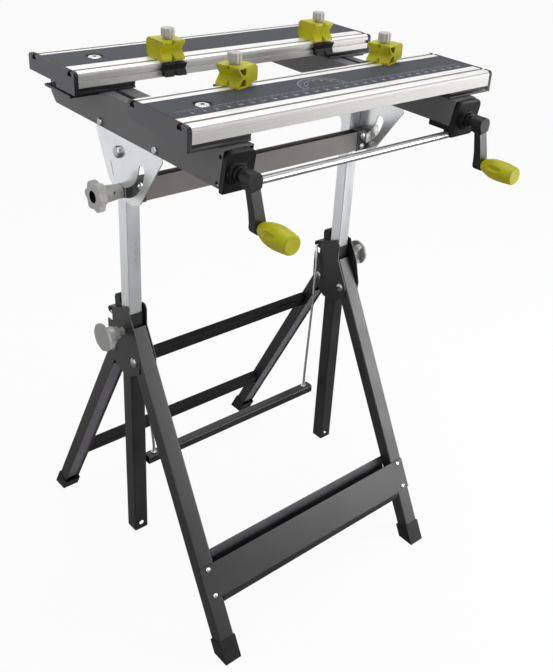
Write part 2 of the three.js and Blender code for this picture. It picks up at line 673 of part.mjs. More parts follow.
// Legs in a frame whose origin is the fold axis and whose Z runs up the leg.
// face is -1 for the front legs and 1 for the rear ones: the web is on that side.
const floorAt = (face, y) => (-FOLD_HEIGHT - face * y * Math.sin(LEG_ANGLE)) / Math.cos(LEG_ANGLE);

function leg(side, face, abovePivot) {
  const x = side * COLUMN_X;
  const half = LEG_WIDTH / 2;
  const bottom = floorAt(face, 0) + LEG_END_ABOVE_FLOOR;
  const shell = prismZ(roundedRectangle(LEG_WIDTH, LEG_DEPTH, LEG_CORNER, x), bottom, abovePivot);
  const room = box(
    x - half + LEG_WALL, x + half - LEG_WALL,
    face * (LEG_DEPTH / 2 - LEG_WALL), -face * LEG_DEPTH, bottom - 1, abovePivot + 1,
  );
  const openEdge = -face * (LEG_DEPTH / 2);
  const squareLip = box(
    x - half - 1, x + half + 1, openEdge, openEdge + face * LEG_CORNER, bottom - 1, abovePivot + 1,
  );
  const chamfer = prismX(
    [
      [openEdge - face, abovePivot - LEG_TOP_CHAMFER_HEIGHT],
      [openEdge + face * LEG_TOP_CHAMFER_DEPTH, abovePivot + 1],
      [openEdge - face, abovePivot + 1],
    ],
    x - half - 1,
    x + half + 1,
  );
  const pinHole = pinX(LEG_PIN_DIAMETER + 2 * RUN_GAP, x - half - 1, x + half + 1, 0, 0);
  return cut(shell, room, squareLip, chamfer, pinHole);
}

function foot(side, face) {
  const x = side * COLUMN_X;
  const deep = LEG_DEPTH / 2 + SEAT_GAP + FOOT_WALL;
  const wide = LEG_WIDTH / 2 + SEAT_GAP + FOOT_WALL;
  const seat = floorAt(face, 0) + LEG_END_ABOVE_FLOOR - SEAT_GAP;
  const top = seat + FOOT_SOCKET;
  const cap = prismX(
    [
      [-deep, floorAt(face, -deep)],
      [deep, floorAt(face, deep)],
      [deep, top],
      [-deep, top],
    ],
    x - wide,
    x + wide,
  );
  const socket = box(
    x - wide + FOOT_WALL, x + wide - FOOT_WALL, FOOT_WALL - deep, deep - FOOT_WALL, seat, top + 1,
  );
  return cut(cap, socket);
}

function frontTray() {
  const web = -LEG_DEPTH / 2 - SEAT_GAP;
  const top = -TRAY_DROP;
  const bottom = top - TRAY_HEIGHT;
  const fold = bottom + TRAY_FOLD_HEIGHT;
  const back = LEG_DEPTH / 2 - 1;
  const between = COLUMN_X - LEG_WIDTH / 2 - SEAT_GAP;
  const t = TRAY_SHEET;
  const wall = box(-COLUMN_X - LEG_WIDTH / 2, COLUMN_X + LEG_WIDTH / 2, web - t, web, fold, top);
  const apron = prismX(
    [
      [web - t, fold + 1],
      [web - t, fold],
      [web - t + TRAY_FOLD_IN, bottom],
      [back, bottom],
      [back, top],
      [back - t, top],
      [back - t, bottom + t],
      [web + TRAY_FOLD_IN, bottom + t],
      [web, fold],
      [web, fold + 1],
    ],
    -between,
    between,
  );
  const rivets = SIDES.flatMap(({ side }) =>
    [top - TRAY_RIVET_INSET, fold + TRAY_RIVET_INSET].map((z) =>
      domedHead(TRAY_RIVET_HEAD, TRAY_RIVET_HEAD_HEIGHT, [side * COLUMN_X, web - t, z], [0, -1, 0]),
    ),
  );
  return join(wall, apron, ...rivets);
}

function rearBar(drop) {
  const half = COLUMN_X - LEG_WIDTH / 2 - SEAT_GAP;
  const middle = LEG_DEPTH / 2 - BAR_DEPTH / 2;
  return prismX(tubeOutline(BAR_DEPTH, BAR_HEIGHT, BAR_SHEET, BAR_CORNER, middle, -drop), -half, half);
}

// Treadle, rods and latches
function treadleBar() {
  const tube = prismX(
    tubeOutline(TREADLE_DEEP, TREADLE_TALL, TREADLE_WALL, TREADLE_CORNER, TREADLE_BACK, TREADLE_HEIGHT),
    -TREADLE_HALF_LENGTH,
    TREADLE_HALF_LENGTH,
  );
  const holes = SIDES.map(({ side }) =>
    pinZ(
      ROD_DIAMETER + 2 * RUN_GAP, TREADLE_HEIGHT, TREADLE_HEIGHT + TREADLE_TALL,
      side * ROD_FOOT_X, TREADLE_BACK, 12,
    ),
  );
  return cut(tube, ...holes);
}

function releaseRod(side) {
  const pinBack = LATCH_BACK + LATCH_ARM;
  const pinHeight = LATCH_HEIGHT - LATCH_DROP;
  const nearX = COLUMN_X - GUSSET_IN - GUSSET_SHEET;
  const foot = TREADLE_HEIGHT + TREADLE_TALL / 2;
  const route = [
    [COLUMN_X + LATCH_PLATE / 2 + ROD_PIN_PROUD, pinBack, pinHeight],
    [nearX + GUSSET_SHEET, pinBack, pinHeight],
    [nearX, pinBack, pinHeight],
    [nearX - 3, pinBack - 1, pinHeight - 2],
    [nearX - 5, pinBack - 4, pinHeight - 9],
    [nearX - 8, pinBack - 9, pinHeight - 40],
    [ROD_FOOT_X, TREADLE_BACK, foot + 18],
    [ROD_FOOT_X, TREADLE_BACK, foot - TREADLE_WALL - 3],
  ].map(([x, y, z]) => new THREE.Vector3(side * x, y, z));
  const path = new THREE.CatmullRomCurve3(route, false, "centripetal");
  const section = outline(circle(ROD_DIAMETER / 2, 6));
  return solidOf(new THREE.ExtrudeGeometry(section, { steps: 30, bevelEnabled: false, extrudePath: path }));
}

function latch(side) {
  const x = side * COLUMN_X;
  const y = LATCH_BACK;
  const z = LATCH_HEIGHT;
  const reach = COLUMN_SIZE / 2 + RUN_GAP;
  const slotBack = y + LATCH_ARM - ROD_DIAMETER / 2 - RUN_GAP;
  const slotMiddle = z - LATCH_DROP;
  const toothBottom = z + LATCH_TOOTH_RISE;
  const toothTop = toothBottom + LATCH_TOOTH_HEIGHT;
  const thumb = z + LATCH_THUMB_RISE;
  const armHalf = LATCH_SLOT_HEIGHT / 2 + LATCH_WALL;
  const lever = new THREE.Shape();
  lever.absarc(slotBack + LATCH_SLOT_LENGTH, slotMiddle, armHalf, -Math.PI / 2, Math.PI / 2);
  lever.lineTo(y + LATCH_HUB_DIAMETER / 2, z + LATCH_HUB_DIAMETER / 2);
  lever.lineTo(y + LATCH_THUMB_RADIUS, thumb);
  lever.absarc(y, thumb, LATCH_THUMB_RADIUS, 0, Math.PI);
  lever.lineTo(y - LATCH_THUMB_RADIUS, toothTop + 1);
  lever.lineTo(reach, toothTop);
  lever.lineTo(reach, toothBottom);
  lever.lineTo(y - LATCH_HUB_DIAMETER / 2 + 1, z + LATCH_HUB_DIAMETER / 2);
  lever.lineTo(y - 4, z - LATCH_HUB_DIAMETER / 2 + 1);
  lever.lineTo(y + LATCH_ARM / 2, slotMiddle - armHalf);
  const plate = prismX(lever, x - LATCH_PLATE / 2, x + LATCH_PLATE / 2);
  const hubHalf = GUSSET_IN - SEAT_GAP;
  const hub = pinX(LATCH_HUB_DIAMETER, x - hubHalf, x + hubHalf, y, z);
  const bore = pinX(LATCH_PIN_DIAMETER + 2 * RUN_GAP, x - COLUMN_SIZE, x + COLUMN_SIZE, y, z, 12);
  const slot = box(
    x - LATCH_PLATE, x + LATCH_PLATE, slotBack, slotBack + LATCH_SLOT_LENGTH,
    slotMiddle - LATCH_SLOT_HEIGHT / 2, slotMiddle + LATCH_SLOT_HEIGHT / 2,
  );
  return cut(join(plate, hub), bore, slot);
}

// Rails and tilt brackets
const railFrontAt = (z) => RAIL_FRONT + RAKE_SLOPE * (RAIL_TOP - z);

function rail(side) {
  const outer = side * RAIL_OUTER_X;
  const inner = side * RAIL_INNER_X;
  const middle = (outer + inner) / 2;
  const innerBottom = RAIL_TOP - RAIL_INNER_HEIGHT;
  const channel = prismY(
    [
      [outer, RAIL_BOTTOM],
      [outer, RAIL_TOP],
      [inner, RAIL_TOP],
      [inner, innerBottom],
      [inner + side * RAIL_SHEET, innerBottom],
      [inner + side * RAIL_SHEET, RAIL_TOP - RAIL_SHEET],
      [outer - side * RAIL_SHEET, RAIL_TOP - RAIL_SHEET],
      [outer - side * RAIL_SHEET, RAIL_BOTTOM],
    ],
    RAIL_FRONT,
    RAIL_BACK,
  );
  const flank = prismX(
    [
      [railFrontAt(RAIL_BOTTOM), RAIL_BOTTOM - 1],
      [RAIL_BACK - RAIL_CHAMFER, RAIL_BOTTOM - 1],
      [RAIL_BACK, RAIL_BOTTOM + RAIL_CHAMFER],
      [RAIL_BACK, RAIL_TOP + 1],
      [railFrontAt(RAIL_TOP), RAIL_TOP + 1],
    ],
    middle - RAIL_WIDTH,
    middle + RAIL_WIDTH,
  );
  const slotX = side * CRANK_X;
  const slot = box(
    slotX - RAIL_SLOT_WIDTH / 2, slotX + RAIL_SLOT_WIDTH / 2,
    RAIL_SLOT_FRONT, RAIL_SLOT_BACK, RAIL_TOP - 2 * RAIL_SHEET, RAIL_TOP + 1,
  );
  const rivetZ = RAIL_BOTTOM + RAIL_RIVET_RISE;
  const rivets = [RAIL_RIVET_FRONT, RAIL_RIVET_BACK].map((y) =>
    domedHead(RAIL_RIVET_HEAD, RAIL_RIVET_HEAD_HEIGHT, [outer, y, rivetZ], [side, 0, 0]),
  );
  return join(cut(channel.intersect(flank), slot), ...rivets);
}

function bracket(side) {
  const near = side * (COLUMN_X + BRACKET_IN);
  const far = side * (COLUMN_X + BRACKET_IN + BRACKET_SHEET);
  const top = RAIL_BOTTOM + BRACKET_INTO_RAIL;
  const reach = TILT_SLOT_RADIUS + TILT_SLOT_WIDTH / 2 + BRACKET_EDGE;
  const plate = new THREE.Shape();
  plate.moveTo(BRACKET_FRONT, top);
  plate.lineTo(BRACKET_FRONT, RAIL_BOTTOM - 9);
  plate.lineTo(-reach * 0.74, PIVOT_HEIGHT - reach * 0.88);
  plate.quadraticCurveTo(-reach * 0.6, PIVOT_HEIGHT - reach, -reach * 0.3, PIVOT_HEIGHT - reach);
  plate.lineTo(9, PIVOT_HEIGHT - reach);
  plate.lineTo(BRACKET_BACK * 0.53, PIVOT_HEIGHT - reach * 0.64);
  plate.lineTo(BRACKET_BACK, RAIL_BOTTOM - 9);
  plate.lineTo(BRACKET_BACK, top);
  const slotHalf = TILT_SLOT_WIDTH / 2;
  const straightDown = -Math.PI / 2;
  const slotEnd = straightDown - TILT_SLOT_SWEEP;
  const endOf = (angle) => [
    TILT_SLOT_RADIUS * Math.cos(angle),
    PIVOT_HEIGHT + TILT_SLOT_RADIUS * Math.sin(angle),
  ];
  const slot = new THREE.Path();
  slot.absarc(0, PIVOT_HEIGHT, TILT_SLOT_RADIUS + slotHalf, straightDown, slotEnd, true);
  slot.absarc(...endOf(slotEnd), slotHalf, slotEnd, slotEnd - Math.PI, true);
  slot.absarc(0, PIVOT_HEIGHT, TILT_SLOT_RADIUS - slotHalf, slotEnd, straightDown, false);
  slot.absarc(...endOf(straightDown), slotHalf, straightDown + Math.PI, straightDown, true);
  const bolt = new THREE.Path();
  bolt.absarc(0, PIVOT_HEIGHT, TILT_BOLT_DIAMETER / 2 + RUN_GAP, 0, 2 * Math.PI);
  const slitTop = PIVOT_HEIGHT - BRACKET_SLIT_DROP;
  const slitBottom = slitTop - BRACKET_SLIT_HEIGHT;
  const slitLow = BRACKET_SLIT_BACK - BRACKET_SLIT_RUN;
  const slit = outline([
    [BRACKET_SLIT_BACK, slitTop],
    [BRACKET_SLIT_BACK - BRACKET_SLIT_WIDTH, slitTop],
    [slitLow - BRACKET_SLIT_WIDTH, slitBottom],
    [slitLow, slitBottom],
  ]);
  plate.holes.push(slot, bolt, slit);
  return prismX(plate, near, far, 7);
}

// Jaws, their panels and the shoes that carry them
const JAWS = {
  front: { face: FRONT_JAW_FACE, grip: 1 },
  rear: { face: REAR_JAW_FACE, grip: -1 },
};
const gripFace = (jaw) => (JAWS[jaw].grip < 0 ? JAWS[jaw].face : JAWS[jaw].face + JAW_DEPTH);
const gripSlot = (jaw) => gripFace(jaw) - JAWS[jaw].grip * SLOT_INSET;

function jawBar(face, x0, x1, bottom) {
  const back = face + JAW_DEPTH;
  const r = JAW_EDGE_RADIUS;
  const bar = new THREE.Shape();
  bar.moveTo(face, bottom);
  bar.lineTo(back, bottom);
  bar.absarc(back - r, JAW_TOP - r, r, 0, Math.PI / 2);
  bar.absarc(face + r, JAW_TOP - r, r, Math.PI / 2, Math.PI);
  return prismX(bar, x0, x1, 3);
}

function slotCut(y, x0, x1) {
  const mouth = box(x0, x1, y - SLOT_MOUTH / 2, y + SLOT_MOUTH / 2, JAW_TOP - SLOT_LIP - 1, JAW_TOP + 1);
  const headTop = JAW_TOP - SLOT_LIP;
  const head = box(x0, x1, y - SLOT_HEAD / 2, y + SLOT_HEAD / 2, headTop - SLOT_HEAD_HEIGHT, headTop);
  return join(mouth, head);
}

// The two T-slots of a jaw, the front one first
function slotRows(which) {
  const { face, grip } = JAWS[which];
  const frontInset = grip < 0 ? SLOT_INSET : OUTER_SLOT_INSET;
  const backInset = grip > 0 ? SLOT_INSET : OUTER_SLOT_INSET;
  return [face + frontInset, face + JAW_DEPTH - backInset];
}

function jaw(which) {
  const { face, grip } = JAWS[which];
  const back = face + JAW_DEPTH;
  const end = JAW_LENGTH / 2;
  const past = end + 1;
  const recess = PANEL_SHEET + SEAT_GAP;
  const slots = slotRows(which).map((y) => slotCut(y, -past, past));
  const panelSeat = box(
    -past, past, face + PANEL_INSET, face + PANEL_INSET + PANEL_DEPTH, JAW_TOP - recess, JAW_TOP + 1,
  );
  const frontWall = grip < 0 ? JAW_FACE_WALL : JAW_WALL;
  const backWall = grip > 0 ? JAW_FACE_WALL : JAW_WALL;
  const slotFloor = JAW_TOP - SLOT_LIP - SLOT_HEAD_HEIGHT - JAW_RIB;
  const ribFront = face + 2 * SLOT_INSET;
  const ribBack = back - 2 * SLOT_INSET;
  const underside = [
    box(-past, past, face + frontWall, ribFront - JAW_RIB, JAW_BOTTOM - 1, slotFloor),
    box(-past, past, ribFront, ribBack, JAW_BOTTOM - 1, JAW_TOP - recess - JAW_RIB),
    box(-past, past, ribBack + JAW_RIB, back - backWall, JAW_BOTTOM - 1, slotFloor),
  ];
  const grooveFace = gripFace(which);
  const groove = box(
    -past, past, grooveFace + grip, grooveFace - grip * GROOVE_DEPTH,
    JAW_BOTTOM + GROOVE_RISE, JAW_BOTTOM + GROOVE_RISE + GROOVE_HEIGHT,
  );
  const screwY = face + PANEL_INSET + PANEL_DEPTH / 2;
  const screw = turned(
    [
      [0, -1],
      [PANEL_SCREW_HEAD / 2, -1],
      [PANEL_SCREW_HEAD / 2, 1.2],
      [PANEL_SCREW_HEAD / 2 - 0.8, 1.9],
      [2.6, 1.9],
      [2.6, 0.6],
      [0, 0.6],
    ],
    [PANEL_SCREW_X, screwY, JAW_TOP - recess],
    [0, 0, 1],
    12,
  );
  const bar = jawBar(face, -end, end, JAW_BOTTOM);
  return join(cut(bar, ...slots, panelSeat, ...underside, groove), screw);
}

function jawPanel(which) {
  const face = JAWS[which].face;
  const end = JAW_LENGTH / 2;
  const front = face + PANEL_INSET + SEAT_GAP;
  const back = face + PANEL_INSET + PANEL_DEPTH - SEAT_GAP;
  const board = box(-end, end, front, back, JAW_TOP - PANEL_SHEET, JAW_TOP);
  const screwY = (front + back) / 2;
  const hole = pinZ(PANEL_SCREW_HOLE, JAW_TOP - 2 * PANEL_SHEET, JAW_TOP + 1, PANEL_SCREW_X, screwY, 24);
  return cut(board, hole);
}

function shoe(side, which) {
  const face = JAWS[which].face;
  const start = JAW_LENGTH / 2 + SEAT_GAP;
  const end = start + SHOE_CAP;
  const cap = jawBar(face, side * start, side * end, SHOE_BOTTOM);
  const relief = box(
    side * (start - 1), side * (end + 1),
    face + SHOE_DEEP, face + JAW_DEPTH + 1, SHOE_BOTTOM - 1, JAW_BOTTOM - SHOE_CAP_DROP,
  );
  const slots = slotRows(which).map((y) => slotCut(y, side * (start - 1), side * (end + 1)));
  const strip = box(
    side * SHOE_INNER_X, side * (start + 1), face, face + SHOE_STRIP_DEPTH, SHOE_BOTTOM, SHOE_TOP,
  );
  const saddle = box(
    side * RAIL_INNER_X, side * RAIL_OUTER_X, face, face + JAW_DEPTH - 2 * JAW_WALL, SHOE_BOTTOM, SHOE_TOP,
  );
  return join(cut(cap, relief, ...slots), strip, saddle);
}

// The rear shoes also guide on the rail and hold the nut of the vise screw
function rearShoe(side) {
  const face = REAR_JAW_FACE;
  const webNear = RAIL_OUTER_X + SEAT_GAP;
  const flagBottom = RAIL_TOP - FLAG_DROP;
  const flagFront = face + FLAG_FRONT;
  const flagBack = flagFront + FLAG_DEPTH;
  const flagEnd = JAW_LENGTH / 2 + SEAT_GAP + SHOE_CAP;
  const web = box(side * webNear, side * (webNear + FLAG_WEB), flagFront, flagBack, flagBottom, SHOE_TOP);
  const lid = box(
    side * RAIL_INNER_X, side * (webNear + FLAG_WEB), flagFront, flagBack, SHOE_BOTTOM, SHOE_TOP,
  );
  const flag = box(
    side * webNear, side * flagEnd, flagFront, flagBack, flagBottom, flagBottom + FLAG_THICK,
  );
  const postX = side * CRANK_X;
  const postHalf = RAIL_SLOT_WIDTH / 2 - RUN_GAP;
  const postY = face + POST_BACK;
  const post = box(
    postX - postHalf, postX + postHalf, postY - POST_DEPTH / 2, postY + POST_DEPTH / 2, CRANK_Z, SHOE_TOP,
  );
  const nut = box(
    postX - NUT_SIZE / 2, postX + NUT_SIZE / 2, postY - POST_DEPTH / 2, postY + POST_DEPTH / 2,
    CRANK_Z - NUT_SIZE / 2, CRANK_Z + NUT_SIZE / 2,
  );
  const bore = pinY(2 * BORE, postY - POST_DEPTH, postY + POST_DEPTH, postX, CRANK_Z, 16);
  return cut(join(shoe(side, "rear"), web, lid, flag, post, nut), bore);
}

// Vise screws, housings, cranks and grips
function housing(side) {
  const inner = side * HOUSING_INNER_X;
  const outer = side * (HOUSING_INNER_X + HOUSING_WIDTH);
  const middle = side * CRANK_X;
  const frontAt = (z) => railFrontAt(z) - SEAT_GAP - HOUSING_DEPTH;
  const backAt = (z) => railFrontAt(z) - SEAT_GAP;
  const crown = HOUSING_CROWN;
  const flank = new THREE.Shape();
  flank.moveTo(backAt(HOUSING_BOTTOM), HOUSING_BOTTOM);
  flank.lineTo(backAt(RAIL_TOP), RAIL_TOP);
  flank.lineTo(frontAt(RAIL_TOP) + crown, RAIL_TOP);
  flank.quadraticCurveTo(frontAt(RAIL_TOP), RAIL_TOP, frontAt(RAIL_TOP - crown), RAIL_TOP - crown);
  flank.lineTo(frontAt(HOUSING_BOTTOM + crown), HOUSING_BOTTOM + crown);
  flank.quadraticCurveTo(
    frontAt(HOUSING_BOTTOM), HOUSING_BOTTOM, frontAt(HOUSING_BOTTOM) + crown, HOUSING_BOTTOM,
  );
  const face = roundedRectangle(
    HOUSING_WIDTH, HOUSING_HEIGHT, HOUSING_CORNER, middle, (RAIL_TOP + HOUSING_BOTTOM) / 2,
  );
  const block = prismX(flank, inner, outer).intersect(
    prismY(face, HOUSING_FRONT - 1, railFrontAt(HOUSING_BOTTOM) + 1),
  );
  const plugOuter = side * (RAIL_OUTER_X - RAIL_SHEET - SEAT_GAP);
  const plugInner = side * Math.max(RAIL_INNER_X + RAIL_SHEET + SEAT_GAP, HOUSING_INNER_X);
  const plugBottom = RAIL_BOTTOM + 2 * RAIL_SHEET;
  const plugTop = RAIL_TOP - RAIL_SHEET - SEAT_GAP;
  const plugBack = railFrontAt(RAIL_BOTTOM) + HOUSING_PLUG;
  const plug = prismX(
    [
      [backAt(plugBottom) - HOUSING_DEPTH / 2, plugBottom],
      [plugBack, plugBottom],
      [plugBack, plugTop],
      [backAt(plugTop) - HOUSING_DEPTH / 2, plugTop],
    ],
    plugInner,
    plugOuter,
  );
  const rodZ = HOUSING_BOTTOM + TIE_ROD_RISE;
  const lug = box(
    inner, inner + side * TIE_ROD_LUG,
    backAt(rodZ) - HOUSING_DEPTH / 2, TIE_ROD_FRONT + TIE_ROD_DIAMETER / 2 + TIE_ROD_LUG_WALL,
    HOUSING_BOTTOM + TIE_ROD_LUG_WALL, rodZ + TIE_ROD_DIAMETER / 2 + TIE_ROD_LUG_WALL,
  );
  const bore = pinY(2 * BORE, HOUSING_FRONT - 2, RAIL_FRONT + 2 * HOUSING_PLUG, middle, CRANK_Z, 16);
  return cut(join(block, plug, lug), bore);
}

function viseScrew(side) {
  return pinY(SCREW_DIAMETER, ELBOW_BACK, SCREW_BACK, side * CRANK_X, CRANK_Z);
}

// Crank and grip stand in a frame on the screw axis, with the arm hanging along -Z
function crankFrame(side) {
  const frame = new THREE.Group();
  frame.position.set(side * CRANK_X, 0, CRANK_Z);
  frame.rotation.y = -CRANK_LEAN;
  bench.add(frame);
  return frame;
}

function crank() {
  const elbow = ELBOW_DIAMETER / 2;
  const arm = CRANK_ARM_WIDTH / 2;
  const end = CRANK_END_DIAMETER / 2;
  const armTop = -elbow - CRANK_ARM_SET;
  const armBottom = CRANK_END_DIAMETER - CRANK_RADIUS;
  const endBottom = -CRANK_RADIUS - end;
  const endBack = ELBOW_FRONT + CRANK_END_THICK;
  const flank = prismX(
    [
      [ELBOW_BACK, elbow],
      [ELBOW_FRONT + CRANK_ARM_SET, elbow],
      [ELBOW_FRONT, elbow - CRANK_ARM_SET],
      [ELBOW_FRONT, -elbow],
      [ELBOW_FRONT + CRANK_ARM_SET, armTop],
      [ELBOW_FRONT, armBottom],
      [ELBOW_FRONT, endBottom],
      [endBack, endBottom],
      [endBack, armBottom],
      [ELBOW_FRONT + CRANK_ARM_SET + CRANK_ARM_THICK, armTop],
      [ELBOW_BACK, -elbow],
    ],
    -ELBOW_DIAMETER,
    ELBOW_DIAMETER,
  );
  const face = new THREE.Shape();
  face.absarc(0, 0, elbow, -Math.PI / 6, (7 * Math.PI) / 6);
  face.lineTo(-arm, armTop);
  face.lineTo(-arm, armBottom);
  face.absarc(0, -CRANK_RADIUS, end, 0.85 * Math.PI, 2.15 * Math.PI);
  face.lineTo(arm, armBottom);
  face.lineTo(arm, armTop);
  const lever = flank.intersect(prismY(face, ELBOW_FRONT - 1, ELBOW_BACK + 1, 5));
  const shaft = turned(
    [
      [0, -1],
      [SHAFT_DIAMETER / 2, -1],
      [SHAFT_DIAMETER / 2, SHAFT_LENGTH - COLLAR_LENGTH],
      [COLLAR_DIAMETER / 2, SHAFT_LENGTH - COLLAR_LENGTH],
      [COLLAR_DIAMETER / 2, SHAFT_LENGTH],
      [0, SHAFT_LENGTH],
    ],
    [0, ELBOW_BACK, 0],
    [0, 1, 0],
  );
  const socket = pinY(2 * BORE, ELBOW_BACK - SEAT_GAP, COLLAR_BACK + 1, 0, 0, 16);
  const pin = pinY(GRIP_PIN_DIAMETER, ELBOW_FRONT - GRIP_PIN_LENGTH, ELBOW_FRONT + 1, 0, -CRANK_RADIUS, 12);
  return join(cut(join(lever, shaft), socket), pin);
}

// A barrel with finger flutes, turning on the pin of the crank
function grip() {
  const start = ELBOW_FRONT - SEAT_GAP;
  const neck = GRIP_NECK_DIAMETER / 2;
  const belly = GRIP_BELLY_DIAMETER / 2;
  const bore = GRIP_PIN_DIAMETER / 2 + RUN_GAP;
  const boreDepth = GRIP_PIN_LENGTH + 2 * SEAT_GAP;
  const body = turned(
    [
      [0, boreDepth],
      [bore, boreDepth],
      [bore, 0],
      [neck - 1, 0],
      [neck, GRIP_LENGTH * 0.06],
      [neck, GRIP_LENGTH * 0.2],
      [(neck + belly) / 2, GRIP_LENGTH * 0.48],
      [belly * 0.96, GRIP_LENGTH * 0.72],
      [belly, GRIP_LENGTH * 0.88],
      [belly - 1.5, GRIP_LENGTH * 0.97],
      [belly - 4, GRIP_LENGTH],
      [0, GRIP_LENGTH],
    ],
    [0, start, -CRANK_RADIUS],
    [0, -1, 0],
  );
  const taper = Math.atan2(belly - neck, GRIP_LENGTH * 0.6);
  const fluteSeat = (neck + belly) / 2 + GRIP_FLUTE_DEPTH;
  const flutes = Array.from({ length: GRIP_FLUTES }, (_, i) => {
    const angle = Math.PI / 2 - GRIP_FLUTE_TURN - (2 * Math.PI * i) / GRIP_FLUTES;
    const almond = new THREE.SphereGeometry(1, 8, 6);
    almond.scale(GRIP_FLUTE_WIDTH / 2, GRIP_FLUTE_LENGTH / 2, 2 * GRIP_FLUTE_DEPTH).rotateX(-taper);
    almond.translate(0, start - GRIP_LENGTH / 2, fluteSeat).rotateY(angle).translate(0, 0, -CRANK_RADIUS);
    return solidOf(almond);
  });
  return cut(body, ...flutes);
}

function tieRod() {
  const end = HOUSING_INNER_X - SEAT_GAP;
  return pinX(TIE_ROD_DIAMETER, -end, end, TIE_ROD_FRONT, HOUSING_BOTTOM + TIE_ROD_RISE, 16);
}

// Clamp dogs: in the dog's own frame the screw axis is the origin and the
// gripping face is at -Y. Each dog stands on the slot nearest its jaw's grip.
function dogFrame(dog) {
  const frame = new THREE.Group();
  frame.position.set(dog.x, gripSlot(dog.jaw), 0);
  frame.rotation.z = dog.turn;
  bench.add(frame);
  return frame;
}

function dogBlock() {
  const bottom = JAW_TOP + SEAT_GAP;
  const top = bottom + DOG_HEIGHT;
  const half = DOG_WIDTH / 2;
  const front = -DOG_FACE;
  const back = front + DOG_DEPTH;
  const middle = (bottom + top) / 2;
  const veeHalf = DOG_VEE_HEIGHT / 2;
  const flank = prismX(
    [
      [front, bottom],
      [back - DOG_CHAMFER, bottom],
      [back, bottom + DOG_CHAMFER],
      [back, top - DOG_CHAMFER],
      [back - DOG_CHAMFER, top],
      [front, top],
      [front, middle + veeHalf],
      [front + DOG_VEE_DEPTH, middle],
      [front, middle - veeHalf],
    ],
    -half,
    half,
  );
  const upright = prismZ(
    [
      [-DOG_CHAMFER, front - 1],
      [DOG_CHAMFER, front - 1],
      [0, front + DOG_CHAMFER],
    ],
    bottom - 1,
    top + 1,
  );
  const w = DOG_POCKET_WALL;
  const pocketEnd = half - DOG_POCKET;
  const pocketBack = -DOG_KNOB_NECK_DIAMETER / 2 - w / 2;
  const pockets = [-1, 1].map((up) =>
    prismX(
      [
        [front + w, middle + up * (veeHalf + 2 - w + 1)],
        [front + w * 0.8 + DOG_VEE_DEPTH, middle + up * w],
        [pocketBack + DOG_VEE_DEPTH, middle + up * w],
        [pocketBack + DOG_VEE_DEPTH, middle + up * (DOG_HEIGHT / 2 - w)],
        [front + w, middle + up * (DOG_HEIGHT / 2 - w)],
      ],
      pocketEnd,
      half + 1,
    ),
  );
  const step = box(
    half - DOG_STEP, half + 1, back - DOG_DEPTH * 0.4, back + 1, bottom - 1, bottom + DOG_STEP,
  );
  const headTop = JAW_TOP - SLOT_LIP - SEAT_GAP;
  const nutBottom = JAW_TOP - SLOT_LIP - SLOT_HEAD_HEIGHT + SEAT_GAP;
  const stem = pinZ(DOG_STEM_DIAMETER, nutBottom + 1, bottom + 1, 0, 0, 10);
  const nut = pinZ(DOG_NUT, nutBottom, headTop, 0, 0, 12);
  return join(cut(flank, upright, ...pockets, step), stem, nut);
}

function dogKnob() {
  const bottom = JAW_TOP + SEAT_GAP + DOG_HEIGHT + SEAT_GAP;
  const start = bottom + DOG_KNOB_NECK;
  const top = start + DOG_KNOB_HEIGHT;
  const neck = pinZ(DOG_KNOB_NECK_DIAMETER, bottom, start + 1, 0, 0);
  const head = prismZ(lobed(DOG_KNOB_DIAMETER / 2, 1.6, DOG_KNOB_FLUTES, 0, 0, 4), start, top - 1.5);
  const crown = pinZ(DOG_KNOB_DIAMETER - 4, top - 2, top, 0, 0, 14);
  return join(neck, head, crown);
}

// The lower pad slides in the groove of the gripping face, below its dog
function dogPad(dog) {
  const { grip } = JAWS[dog.jaw];
  const face = gripFace(dog.jaw);
  const near = face + grip * SEAT_GAP;
  const far = face + grip * PAD_DEPTH;
  const middle = JAW_BOTTOM + GROOVE_RISE + GROOVE_HEIGHT / 2;
  const low = middle - PAD_HEIGHT / 2;
  const high = middle + PAD_HEIGHT / 2;
  const half = PAD_WIDTH / 2;
  const body = prismX(
    [
      [near, low],
      [near, high],
      [far, high],
      [far - grip * PAD_VEE, middle],
      [far, low],
    ],
    dog.x - half,
    dog.x + half,
  );
  const upright = prismZ(
    [
      [dog.x - PAD_VEE, far + grip],
      [dog.x + PAD_VEE, far + grip],
      [dog.x, far - grip * PAD_VEE],
    ],
    low - 1,
    high + 1,
  );
  const tongueHalf = GROOVE_HEIGHT / 2 - SEAT_GAP;
  const tongue = box(
    dog.x - half, dog.x + half, near + grip, face - grip * (GROOVE_DEPTH - SEAT_GAP),
    middle - tongueHalf, middle + tongueHalf,
  );
  return join(cut(body, upright), tongue);
}

